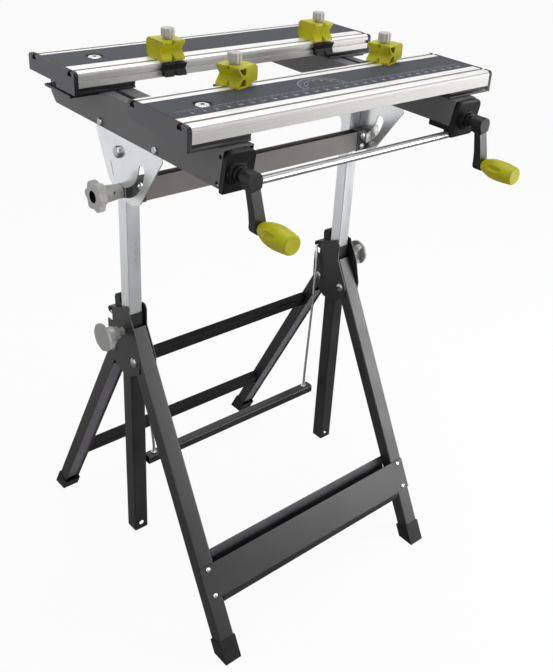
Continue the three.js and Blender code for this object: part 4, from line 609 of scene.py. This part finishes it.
def legs():
    """Front legs with their tray and rear legs with their bars, with their caps and rivets."""
    facing = on_front_leg(0, -1, 0) - on_front_leg(0, 0, 0)
    for label, side in SIDES:
        for end in ("front", "rear"):
            leg = put(dressed(f"{end}_leg_{label}", 0.5), f"{end}_legs", PAINT, f"{end}_leg_{label}")
            if end == "rear":
                # painted light: the faces inside the rear leg's channel get the lighter paint
                repainted(leg, CHANNEL_PAINTED_LIGHT, lambda face: in_channel(face, side))
                leg_web(label, side)
            put(dressed(f"{end}_foot_{label}", 1.0, 3), f"{end}_legs", BLACK, f"{end}_foot_{label}")
        for place, down in TRAY_RIVETS:
            spot = on_front_leg(side * COLUMN_X, TRAY_RIVET_OUT, down)
            head(f"tray_rivet_{label}_{place}", spot, facing, *TRAY_RIVET_HEAD, ZINC, "front_legs")
    tray = put(dressed("front_tray", 0.5), "front_legs", PAINT, "front_tray")
    middle = on_front_leg(0, 0, 0)
    # painted light: the tray's inner back wall and the rim behind it get the lighter paint, where they lie in shade
    repainted(tray, CHANNEL_PAINTED_LIGHT, lambda face: (face.center - middle).dot(facing) < 0 and face.normal.dot(facing) > 0.5)
    back = block("tray_back_rim", -RIM_REACH, RIM_REACH, -FOLD_Y + RIM_FRONT, -FOLD_Y + RIM_BACK,
                 FOLD_Z - RIM_BOTTOM_DROP, FOLD_Z - RIM_TOP_DROP)
    broken_edges(back, 0.4)
    swung(back, at(0, -FOLD_Y, FOLD_Z), "X", -math.degrees(LEG_ANGLE))
    put(smooth(back, 40), "front_legs", CHANNEL_PAINTED_LIGHT)
    rear_bar("rear_upper_bar", UPPER_BAR_DROP, UPPER_BAR_FRONT, UPPER_BAR_HEIGHT)
    rear_bar("rear_lower_bar", LOWER_BAR_DROP, LOWER_BAR_FRONT, LOWER_BAR_HEIGHT)


# Release: treadle, rods and latches
ROD_X, ROD_Y = 191, 18      # where a rod passes through the treadle
ROD_ROUTE = ((256, 43, 553), (225.2, 43, 553), (223.2, 43, 553), (220.2, 42, 551), (218.2, 39, 544), (215.2, 34, 513),
             (ROD_X, ROD_Y, 252), (ROD_X, ROD_Y, 229.5))
ROD_DIAMETER = 5
ROD_COLLAR = [(5.5, -0.5), (5.5, 1.4), (5.1, 1.8), (3.6, 2.4), (3.3, 5)]
ROD_NUT = [(4.6, -0.5), (4.6, 3.2), (3.9, 3.8)]
TREADLE_TOP, TREADLE_BOTTOM = 234, 216


def release():
    """The treadle with its two bent rods, and the latches that they let go."""
    put(dressed("treadle_bar", 0.8), "treadle", PAINT, "treadle_bar")
    for label, side in SIDES:
        wire = rod(f"release_rod_{label}_bent", [(side * x, y, z) for x, y, z in ROD_ROUTE], ROD_DIAMETER)
        put(smooth(wire, 60), "treadle", ZINC, f"release_rod_{label}")
        collar = turned(f"rod_collar_{label}", at(side * ROD_X, ROD_Y, TREADLE_TOP), (0, 0, 1), ROD_COLLAR, 28)
        put(smooth(collar, 40), "treadle", ZINC)
        nut = turned(f"rod_nut_{label}", at(side * ROD_X, ROD_Y, TREADLE_BOTTOM), (0, 0, -1), ROD_NUT, 6)
        put(smooth(nut, 20), "treadle", DARK_STEEL_AND_SHADE)
        put(dressed(f"latch_{label}", 0.8), f"{label}_latch", BLACK, f"latch_{label}")


# Table: rails, brackets, housings and tie rod
RAIL_RIVETS = (("front", -104), ("rear", 48))
RAIL_RIVET_Z = 887
RAIL_RIVET_HEAD = (13, 3.4)
RAIL_HOLES = ((-259, 925.9), (-252, 886.6))
RAIL_HOLE_RADIUS = 3.4
RAIL_DRILL_IN, RAIL_DRILL_LENGTH = 6, 10
HOUSING_INNER = 208.5
HOUSING_OUTER = {"left": -257.5, "right": 265.5}      # the left one ends with its rail
HOUSING_BOTTOM, HOUSING_TOP = 872, 937
HOUSING_FOOT_CORNER, HOUSING_ARCH_CORNER = 5, 16
HOUSING_CUT = (-300, -200)                            # well past the housing at both ends
HOUSING_BORE = 6.4
HOUSING_BORE_LENGTH = 80
BOSS_BACK = -264
BOSS = [(19, 0), (18.6, 3.6), (17.6, 5.2), (14.2, 9.4), (13.2, 10.2)]
TIE_REACH = 208.2
TIE_Y, TIE_Z = -256, 878.2
TIE_ROD = [(5.4, 0), (6, 0.6), (6, 2 * TIE_REACH - 0.6), (5.4, 2 * TIE_REACH)]


def rails():
    """Rails with their rivets and front holes, and the tilt brackets under them."""
    for label, side in SIDES:
        channel = dressed(f"rail_{label}", 0.6)
        for count, (y, z) in enumerate(RAIL_HOLES):
            drill = turned(f"rail_drill_{label}_{count}", at(side * (RAIL_OUTER - RAIL_DRILL_IN), y, z), (side, 0, 0),
                           [(RAIL_HOLE_RADIUS, 0), (RAIL_HOLE_RADIUS, RAIL_DRILL_LENGTH)], 24)
            carved(channel, drill)
        put(smooth(channel), "table", RAIL_PAINT, f"rail_{label}")
        for place, y in RAIL_RIVETS:
            spot = at(side * RAIL_OUTER, y, RAIL_RIVET_Z)
            head(f"rail_rivet_{label}_{place}", spot, (side, 0, 0), *RAIL_RIVET_HEAD, BOLT, "table")
        put(dressed(f"tilt_bracket_{label}", 0.5), "table", ZINC, f"tilt_bracket_{label}")


def housings():
    """Arched screw housings with a conical boss, and the rod that ties them."""
    for label, side in SIDES:
        body = dressed(f"screw_housing_{label}", 0)
        low, high = sorted((side * HOUSING_INNER, HOUSING_OUTER[label]))
        foot, crown = HOUSING_FOOT_CORNER, HOUSING_ARCH_CORNER
        foot_z, crown_z = HOUSING_BOTTOM + foot, HOUSING_TOP - crown
        arch = [*arc(low + foot, foot_z, foot, 180, 270), *arc(high - foot, foot_z, foot, 270, 360),
                *arc(high - crown, crown_z, crown, 0, 90), *arc(low + crown, crown_z, crown, 90, 180)]
        boolean(body, drawn(f"housing_arch_{label}", arch, *HOUSING_CUT, "Y"), "INTERSECT")
        broken_edges(body, 1.2, 3, 40)
        boss = turned(f"housing_boss_{label}", at(side * CRANK_X, BOSS_BACK, CRANK_Z), (0, -1, 0), BOSS)
        bore = turned(f"housing_bore_{label}", at(side * CRANK_X, HOUSING_CUT[1], CRANK_Z), (0, -1, 0),
                      [(HOUSING_BORE, 0), (HOUSING_BORE, HOUSING_BORE_LENGTH)])
        carved(fused(body, boss), bore)
        put(smooth(body, 40), "table", HOUSING, f"screw_housing_{label}")
    tie = turned("tie_rod_bar", at(-TIE_REACH, TIE_Y, TIE_Z), (1, 0, 0), TIE_ROD, 40)
    put(smooth(tie, 40), "table", CHROME, "tie_rod")


# Jaws with their panels, shoes and scale
PANEL_INSET, PANEL_DEPTH = 37, 77
PANEL_GAP = 0.3
PANEL_BOTTOM = 969.2
PANEL_SEAT = 21.3                    # above the jaw's bottom
PANEL_HOLE = [(14.6, -1), (14.6, 4)]
SCREW_X = -230
SCREW_DISH = [(14.4, 0), (14.4, 2.1), (13.9, 2.4), (13.1, 2.2), (11.6, 0.6)]
SCREW_HEAD = [(10.4, 0.3), (10.4, 1.2), (9.7, 1.9), (7.8, 2.4)]
SCREW_SOCKET = [(3.6, 1.0), (3.6, 3.5)]
SOCKET_REACH, SOCKET_MOUTH = 3.55, 2.3
OUTER_SLOT, GRIP_SLOT = 18, 129      # from the jaw's outer edge
STRIP_GROOVE = (940.5, 944.5)        # along the front of the strip under the jaw
STRIP_GROOVE_FROM = 100
STRIP_GROOVE_DEPTH = 1.2
STRIP_GROOVE_PAST = 2                # the cutter's reach out of the strip
CAP_FACE = JAW_END + 5               # past it a shoe's side is its outer face


def slot_mouth(d):
    """The outline of a T-slot whose middle is at d, from its grip side to its outer side."""
    return [(d + 3, 24), (d + 3, 21), (d + 5.5, 21), (d + 5.5, 16), (d - 5.5, 16), (d - 5.5, 21), (d - 3, 21),
            (d - 3, 24)]


def jaw_section(seat_near, seat_far):
    """Half-hollow extrusion, as (distance from the outer edge, height): ribs, grip groove, T-slots and panel seat."""
    return [
        (0, 0), (4, 0), (4, 13.5), (23.5, 13.5), (23.5, 0), (26, 0), (26, 18.8), (116, 18.8), (116, 0), (118.5, 0),
        (118.5, 13.5), (134, 13.5), (134, 0), (142, 0), (142, 9.5), (138, 9.5), (138, 14.5), (142, 14.5),
        *arc(136, 18, 6, 0, 90), *slot_mouth(GRIP_SLOT), (seat_far, 24), (seat_far, PANEL_SEAT),
        (seat_near, PANEL_SEAT), (seat_near, 24), *slot_mouth(OUTER_SLOT), *arc(6, 18, 6, 90, 180), (0, 16.6),
        (0.5, 16.2), (0, 15.8),
    ]


def in_socket(offset):
    """Whether a spot, measured from the screw's seat, lies in the screw's hexagon socket."""
    return math.hypot(offset.x, offset.y) < SOCKET_REACH * MM and offset.z < SOCKET_MOUTH * MM


def jaw(which, body, face, outer_edge, towards_grip):
    """A jaw with its panel, panel screw and shoes. The jaw's front face is at Y = face."""
    near = PANEL_INSET if towards_grip > 0 else JAW_DEPTH - PANEL_INSET - PANEL_DEPTH
    section = [(outer_edge + towards_grip * d, JAW_BOTTOM + h) for d, h in jaw_section(near, near + PANEL_DEPTH)]
    bar = drawn(f"{which}_jaw_bar", section, -JAW_END, JAW_END)
    broken_edges(bar, 0.3, 2, 60)
    put(smooth(bar, 40), body, ALUMINIUM, f"{which}_jaw")
    # painted shade: faces turned to the front take the darker aluminium
    repainted(bar, ALUMINIUM_FRONT_PAINTED_SHADE, lambda flat: flat.normal.y < -0.7)
    front, back = face + PANEL_INSET + PANEL_GAP, face + PANEL_INSET + PANEL_DEPTH - PANEL_GAP
    middle = (front + back) / 2
    board = block(f"{which}_panel_board", -JAW_END, JAW_END, front, back, PANEL_BOTTOM, JAW_TOP)
    hole = turned(f"{which}_panel_hole", at(SCREW_X, middle, PANEL_BOTTOM), (0, 0, 1), PANEL_HOLE)
    broken_edges(carved(board, hole), 0.3)
    put(smooth(board, 40), body, PANEL, f"{which}_panel")
    seat = at(SCREW_X, middle, JAW_BOTTOM + PANEL_SEAT)
    dish = turned(f"{which}_screw_dish", seat, (0, 0, 1), SCREW_DISH)
    put(smooth(dish, 40), body, HOUSING)
    screw = turned(f"{which}_screw", seat, (0, 0, 1), SCREW_HEAD, 40)
    socket = turned(f"{which}_screw_socket", seat, (0, 0, 1), SCREW_SOCKET, 6)
    put(smooth(carved(screw, socket), 30), body, ZINC)
    # painted shade: the screw's hexagon socket is painted dark
    repainted(screw, DARK_STEEL_AND_SHADE, lambda flat: in_socket(flat.center - seat))
    for label, side in SIDES:
        shoe = dressed(f"{which}_shoe_{label}", 0.7)
        groove = block(f"{which}_strip_groove_{label}", side * STRIP_GROOVE_FROM, side * JAW_END,
                       face - STRIP_GROOVE_PAST, face + STRIP_GROOVE_DEPTH, *STRIP_GROOVE)
        carved(shoe, groove)
        put(smooth(shoe), body, BLACK, f"{which}_shoe_{label}")
        repainted(shoe, GRAPHITE, lambda flat: abs(flat.normal.x) > 0.9 and abs(flat.center.x) > CAP_FACE * MM)


# Scale and protractor printed on the front panel
INK = (971.56, 971.66)
RULER_Y = -193
RULER_ZERO = -286
RULER_LENGTH = 575
RULER_LINE = 0.4
RULER_TICKS = ((5, 3), (10, 5), (20, 8))      # (step, length)
RULER_TICK_HALF = 0.3
RULER_TICK_DROP = 0.3                         # a tick starts inside the line
RULER_NUMBERS = range(2, 57, 2)               # in centimetres
RULER_NUMBER_SIZE, RULER_NUMBER_DROP = 8.5, 14
ARC_X, ARC_Y = -13, -189
ARC_INNER, ARC_OUTER = 32, 42
ARC_LINE = 0.6
ARC_TICK_HALF = 0.25
ARC_TICK_LONG, ARC_TICK_SHORT = 7, 4
ARC_NUMBER_SIZE, ARC_NUMBER_RADIUS = 5, 27


def written(words, size, place, degrees=0):
    """A word in ink, centred on its place and turned about the vertical."""
    fresh()
    bpy.ops.object.text_add(location=(0, 0, 0))
    piece = bpy.context.view_layer.objects.active
    piece.data.body = words
    piece.data.size = size * MM
    piece.data.align_x, piece.data.align_y = "CENTER", "CENTER"
    piece.data.resolution_u = 3
    piece.data.extrude = (INK[1] - INK[0]) / 2 * MM
    take(piece)
    bpy.ops.object.convert(target="MESH")
    piece = added(f"ink_{words}")
    piece.rotation_euler = (0, 0, math.radians(degrees))
    piece.location = at(*place, sum(INK) / 2)
    return outward(settle(piece))


def scale_print():
    """A ruler along the panel's front and a half-round protractor, as one thin print."""
    marks = [block("ruler_line", RULER_ZERO, RULER_ZERO + RULER_LENGTH, RULER_Y - RULER_LINE, RULER_Y, *INK)]
    for step, reach in RULER_TICKS:
        tick = block(f"ruler_tick_{step}", RULER_ZERO - RULER_TICK_HALF, RULER_ZERO + RULER_TICK_HALF,
                     RULER_Y - reach, RULER_Y - RULER_TICK_DROP, *INK)
        marks.append(apply_modifier(
            tick, "ARRAY", use_relative_offset=False, use_constant_offset=True,
            constant_offset_displace=(step * MM, 0, 0), count=RULER_LENGTH // step + 1,
        ))
    for number in RULER_NUMBERS:
        spot = (RULER_ZERO + 10 * number, RULER_Y - RULER_NUMBER_DROP)
        marks.append(written(str(number), RULER_NUMBER_SIZE, spot))
    for radius in (ARC_INNER, ARC_OUTER):
        band = arc(ARC_X, ARC_Y, radius, 0, 180, 40) + arc(ARC_X, ARC_Y, radius - ARC_LINE, 180, 0, 40)
        marks.append(drawn(f"arc_line_{radius}", band, *INK, "Z"))
    for degrees in range(0, 181, 5):
        length = ARC_TICK_LONG if degrees % 15 == 0 else ARC_TICK_SHORT
        tick = block(f"arc_tick_{degrees}", ARC_X + ARC_OUTER - length, ARC_X + ARC_OUTER, ARC_Y - ARC_TICK_HALF,
                     ARC_Y + ARC_TICK_HALF, *INK)
        marks.append(swung(tick, at(ARC_X, ARC_Y, INK[0]), "Z", degrees))
    for degrees in range(30, 151, 30):
        turn = math.radians(degrees)
        spot = (ARC_X + ARC_NUMBER_RADIUS * math.cos(turn), ARC_Y + ARC_NUMBER_RADIUS * math.sin(turn))
        marks.append(written(str(90 - abs(90 - degrees)), ARC_NUMBER_SIZE, spot, degrees - 90))
    put(joined("scale_print", marks), "table", PRINT)


# Vise drive: screws, cranks and grips
SCREW_FRONT, SCREW_BACK = -287.6, 180
SCREW_PLAIN = 30                                 # of its front, without a thread
THREAD_ROOT, THREAD_CREST, THREAD_PITCH = 5.1, 6, 5
SCREW_SHANK = [(5.4, 0), (6, 0.6), (6, SCREW_PLAIN + 3), (5, SCREW_PLAIN + 4)]
SCREW_TIP = [(4.4, 0), (5.4, 1), (5.4, 9)]
SCREW_TIP_BARE = 7
ELBOW_BACK, ELBOW_FRONT = -287.6, -308.6
ARM_BACK = -294.6
# Seen from the side, as (Y, height over the screw), and from the front, as (distance from the screw, height over it)
CRANK_FLANK = [(ELBOW_BACK, 12), (-305.6, 12), (ELBOW_FRONT, 9), (ELBOW_FRONT, -12), (-305.6, -15), (ELBOW_FRONT, -48),
               (ELBOW_FRONT, -81), (ARM_BACK, -81), (ARM_BACK, -48), (-293.6, -15), (ELBOW_BACK, -12)]
CRANK_FACE = [*arc(0, 0, 12, -30, 210, 28), (-8.5, -15), (-8.5, -48), *arc(0, -70, 11, 153, 387, 28), (8.5, -48),
              (8.5, -15)]
CRANK_BLANK_HALF = 13
CRANK_CUT = (-312, -285)                         # past the lever's front and back
CRANK_SHAFT = [(8.5, -3), (8.5, 8), (11.2, 8), (12, 8.8), (12, 12.2), (11.2, 13)]
CRANK_SOCKET = [(6.2, -0.3), (6.2, 19.7)]
CRANK_LEAN = -10
ELBOW_DROP = 13                                  # from the screw down to the arm
GRIP_X, GRIP_Z = 12.155, 835.063
GRIP_GAP = 0.3                                   # between the arm and the grip
GRIP_PROFILE = ((8, 0), (9, 1), (10.2, 3), (12.2, 8), (14.4, 14), (16.2, 21), (17.2, 28), (17.4, 34), (17.2, 41),
                (16.6, 48), (15.8, 55), (15.2, 60), (14.7, 62.6), (13.9, 64.2), (12.8, 65))
FLUTE_MIDDLE = 30
FLUTE_SEAT = 20
FLUTE_SIZE = (6, 22, 6)
FLUTE_TURNS = (20, 110, 200, 290)


def vise_screw(label, side):
    """A threaded bar with a plain shank in the housing and a plain tip."""
    bar = threaded(f"vise_thread_{label}", at(side * CRANK_X, SCREW_FRONT + SCREW_PLAIN, CRANK_Z), (0, 1, 0),
                   SCREW_BACK - SCREW_FRONT - SCREW_PLAIN - SCREW_TIP_BARE, THREAD_ROOT, THREAD_CREST, THREAD_PITCH)
    shank = turned(f"vise_shank_{label}", at(side * CRANK_X, SCREW_FRONT, CRANK_Z), (0, 1, 0), SCREW_SHANK, 40)
    tip = turned(f"vise_tip_{label}", at(side * CRANK_X, SCREW_BACK, CRANK_Z), (0, -1, 0), SCREW_TIP, 40)
    screw = joined(f"vise_screw_{label}_wound", [bar, shank, tip])
    put(smooth(screw, 40), f"{label}_crank", ZINC, f"vise_screw_{label}")


def crank(label, side):
    """A lever whose elbow sits on the screw's shaft and whose arm leans to the right."""
    x, z = side * CRANK_X, CRANK_Z
    flank = [(y, z + height) for y, height in CRANK_FLANK]
    face = [(x + across, z + height) for across, height in CRANK_FACE]
    lever = drawn(f"crank_lever_{label}", flank, x - CRANK_BLANK_HALF, x + CRANK_BLANK_HALF)
    outline = drawn(f"crank_outline_{label}", face, *CRANK_CUT, "Y")
    boolean(lever, outline, "INTERSECT")
    broken_edges(lever, 1.6, 3, 50)
    shaft = turned(f"crank_shaft_{label}", at(x, ELBOW_BACK, z), (0, 1, 0), CRANK_SHAFT)
    socket = turned(f"crank_socket_{label}", at(x, ELBOW_BACK, z), (0, 1, 0), CRANK_SOCKET)
    carved(fused(lever, shaft), socket)
    swung(lever, at(x, 0, z), "Y", CRANK_LEAN)
    put(smooth(lever, 40), f"{label}_crank", BLACK, f"crank_{label}")
    # painted light: the arm's front faces below the elbow get the lighter moulding
    repainted(lever, CRANK_ARM_PAINTED_LIGHT, lambda flat: flat.normal.y < -0.9 and flat.center.z < (z - ELBOW_DROP) * MM)


def grip(label, side):
    """A barrel with four almond flutes for the fingers."""
    axis = at(side * CRANK_X + GRIP_X, ELBOW_FRONT - GRIP_GAP, GRIP_Z)
    barrel = turned(f"grip_barrel_{label}", axis, (0, -1, 0), GRIP_PROFILE, 72)
    for turn in FLUTE_TURNS:
        fresh()
        bpy.ops.mesh.primitive_uv_sphere_add(segments=32, ring_count=24, radius=1, location=(0, 0, 0))
        almond = added(f"grip_flute_{label}_{turn}")
        middle = Matrix.Translation(axis + Vector((0, -FLUTE_MIDDLE * MM, 0)))
        about = Matrix.Rotation(math.radians(turn), 4, "Y")
        seat = Matrix.Translation((0, 0, FLUTE_SEAT * MM))
        almond.matrix_world = middle @ about @ seat @ Matrix.Diagonal([size * MM for size in FLUTE_SIZE] + [1])
        carved(barrel, settle(almond))
    put(smooth(barrel, 35), f"{label}_grip", LIME, f"crank_grip_{label}")


# Clamp dogs
DOG_AXES = {"rear_left": (-136, 45.4), "rear_right": (182, 45.4), "front_left": (-136, -125.6),
            "front_right": (174, -125.6)}
DOG_KNOB_Z = 1003.2
DOG_KNOB_HEAD = [(9.4, 3), (10.4, 3.6), (10.75, 4.6), (10.75, 14.8), (10.2, 16.2), (8.8, 17)]
DOG_KNOB_NECK = [(6.5, 0), (6.5, 4)]
DOG_KNOB_FLUTES, DOG_KNOB_DIP = 10, 0.14


def dogs():
    """Four blocks with their pads, and a fluted knob that is turned once and copied to each."""
    first_x, first_y = DOG_AXES["rear_left"]
    base = at(first_x, first_y, DOG_KNOB_Z)
    knob = turned("dog_knob_head", base, (0, 0, 1), DOG_KNOB_HEAD, 120, DOG_KNOB_FLUTES, DOG_KNOB_DIP)
    fused(knob, turned("dog_knob_neck", base, (0, 0, 1), DOG_KNOB_NECK))
    smooth(knob, 40)
    for label, (x, y) in DOG_AXES.items():
        put(dressed(f"dog_block_{label}", 0.7, 2), f"{label}_dog", LIME, f"dog_block_{label}")
        put(dressed(f"dog_pad_{label}", 0.5), f"{label}_dog", BLACK, f"dog_pad_{label}")
        twin = copied(knob, f"dog_knob_{label}_turned", (x - first_x, y - first_y, 0))
        put(twin, f"{label}_dog_knob", PALE_GREY, f"dog_knob_{label}")
    bpy.data.objects.remove(knob)


uprights()
for label, side in SIDES:
    tilt_knob(label, side)
    height_knob(label, side)
    vise_screw(label, side)
    crank(label, side)
    grip(label, side)
legs()
release()
rails()
housings()
jaw("front", "table", FRONT_FACE, FRONT_FACE, 1)
jaw("rear", "moving_jaw", REAR_FACE, REAR_FACE + JAW_DEPTH, -1)
scale_print()
dogs()


# Stage, light and camera: reflections run from dark to bright along a lean, between two places on it
FLOOR_SIZE = 14
FLOOR_WHITE = 0.94
FLOOR_LEAN = (-0.6, 0.8, 0)
FLOOR_PLACES = (0.5, 2.2)
FLOOR_LEVELS = (0.22, 0.95)
SKY_LEAN = (-0.75, 0.35, 0.56)
SKY_PLACES = (-0.6, 0.1)
SKY_LEVELS = (0.3, 1.0)
AMBIENT = 0.2
# name, place, target, size and power
SOFTBOXES = (
    ("key_softbox", (2.0, -1.9, 0.9), (0, 0, 0.5), (1.7, 1.4), 60),
    ("left_softbox", (-2.6, -0.6, 1.9), (0, 0, 0.6), (1.6, 1.6), 12),
    ("top_softbox", (0.1, 0.1, 3.0), (0, 0, 0.5), (2.2, 2.2), 45),
)


def graded(tree, coordinate, along_lean, places, levels):
    """A value that grows from one level to another between two places along a lean."""
    coordinates = tree.nodes.new("ShaderNodeTexCoord")
    lean = tree.nodes.new("ShaderNodeVectorMath")
    lean.operation = "DOT_PRODUCT"
    lean.inputs[1].default_value = along_lean
    tree.links.new(coordinates.outputs[coordinate], lean.inputs[0])
    grade = tree.nodes.new("ShaderNodeMapRange")
    grade.inputs["From Min"].default_value, grade.inputs["From Max"].default_value = places
    grade.inputs["To Min"].default_value, grade.inputs["To Max"].default_value = levels
    tree.links.new(lean.outputs["Value"], grade.inputs["Value"])
    return grade.outputs["Result"]


def floor():
    """A pale floor: white to the camera with its shadow kept, and graded from dark to bright in reflections."""
    fresh()
    bpy.ops.mesh.primitive_plane_add(size=FLOOR_SIZE, location=(0, 0, 0))
    piece = added("studio_floor")
    material = bpy.data.materials.new("studio_floor")
    material.use_nodes = True
    nodes, links = material.node_tree.nodes, material.node_tree.links
    shader = nodes["Principled BSDF"]
    shader.inputs["Base Color"].default_value = (0.9, 0.9, 0.9, 1)
    shader.inputs["Roughness"].default_value = 0.9
    shader.inputs["Specular IOR Level"].default_value = 0.1
    path = nodes.new("ShaderNodeLightPath")
    white = nodes.new("ShaderNodeEmission")
    share = nodes.new("ShaderNodeMath")
    share.operation = "MULTIPLY"
    share.inputs[1].default_value = FLOOR_WHITE
    links.new(path.outputs["Is Camera Ray"], share.inputs[0])
    seen = nodes.new("ShaderNodeMixShader")
    links.new(share.outputs["Value"], seen.inputs["Fac"])
    links.new(shader.outputs["BSDF"], seen.inputs[1])
    links.new(white.outputs["Emission"], seen.inputs[2])
    mirrored = nodes.new("ShaderNodeEmission")
    glow = graded(material.node_tree, "Object", FLOOR_LEAN, FLOOR_PLACES, FLOOR_LEVELS)
    links.new(glow, mirrored.inputs["Strength"])
    mix = nodes.new("ShaderNodeMixShader")
    links.new(path.outputs["Is Glossy Ray"], mix.inputs["Fac"])
    links.new(seen.outputs["Shader"], mix.inputs[1])
    links.new(mirrored.outputs["Emission"], mix.inputs[2])
    links.new(mix.outputs["Shader"], nodes["Material Output"].inputs["Surface"])
    piece.data.materials.append(material)


def softbox(name, place, target, size, power):
    """A rectangular lamp that looks at a target."""
    light = bpy.data.lights.new(name, "AREA")
    light.shape = "RECTANGLE"
    light.size, light.size_y = size
    light.energy = power
    lamp = bpy.data.objects.new(name, light)
    bpy.context.scene.collection.objects.link(lamp)
    lamp.location = place
    lamp.rotation_euler = (Vector(target) - Vector(place)).to_track_quat("-Z", "Y").to_euler()


def studio():
    """The floor, a white surround that is graded in reflections, and the lamps."""
    floor()
    world = bpy.data.worlds.new("studio")
    bpy.context.scene.world = world
    world.use_nodes = True
    nodes, links = world.node_tree.nodes, world.node_tree.links
    path = nodes.new("ShaderNodeLightPath")
    clear = nodes.new("ShaderNodeMath")
    clear.operation = "MAXIMUM"
    links.new(path.outputs["Is Camera Ray"], clear.inputs[0])
    links.new(path.outputs["Is Transmission Ray"], clear.inputs[1])
    direct = nodes.new("ShaderNodeMapRange")
    direct.inputs["To Min"].default_value = AMBIENT
    direct.inputs["To Max"].default_value = 1.0
    links.new(clear.outputs["Value"], direct.inputs["Value"])
    strength = nodes.new("ShaderNodeMix")
    links.new(path.outputs["Is Glossy Ray"], strength.inputs["Factor"])
    links.new(direct.outputs["Result"], strength.inputs["A"])
    links.new(graded(world.node_tree, "Generated", SKY_LEAN, SKY_PLACES, SKY_LEVELS), strength.inputs["B"])
    links.new(strength.outputs["Result"], nodes["Background"].inputs["Strength"])
    nodes["Background"].inputs["Color"].default_value = (1, 1, 1, 1)
    for box in SOFTBOXES:
        softbox(*box)


CAMERA_PLACE = at(-927.47, -1144.49, 1326.31)
CAMERA_TURN = (61.496, -4.058, -41.707)
CAMERA_LENS = 47.70
CAMERA_SHIFT = (-0.0508, -0.0577)


def camera():
    """The photo's view, as fitted to its edges."""
    view = bpy.data.cameras.new("photo_view")
    view.sensor_width = 36
    view.lens = CAMERA_LENS
    view.shift_x, view.shift_y = CAMERA_SHIFT
    view.clip_end = 50
    stand = bpy.data.objects.new("photo_view", view)
    bpy.context.scene.collection.objects.link(stand)
    stand.location = CAMERA_PLACE
    stand.rotation_euler = [math.radians(a) for a in CAMERA_TURN]
    bpy.context.scene.camera = stand


studio()
camera()
bpy.context.scene.view_settings.view_transform = "Standard"
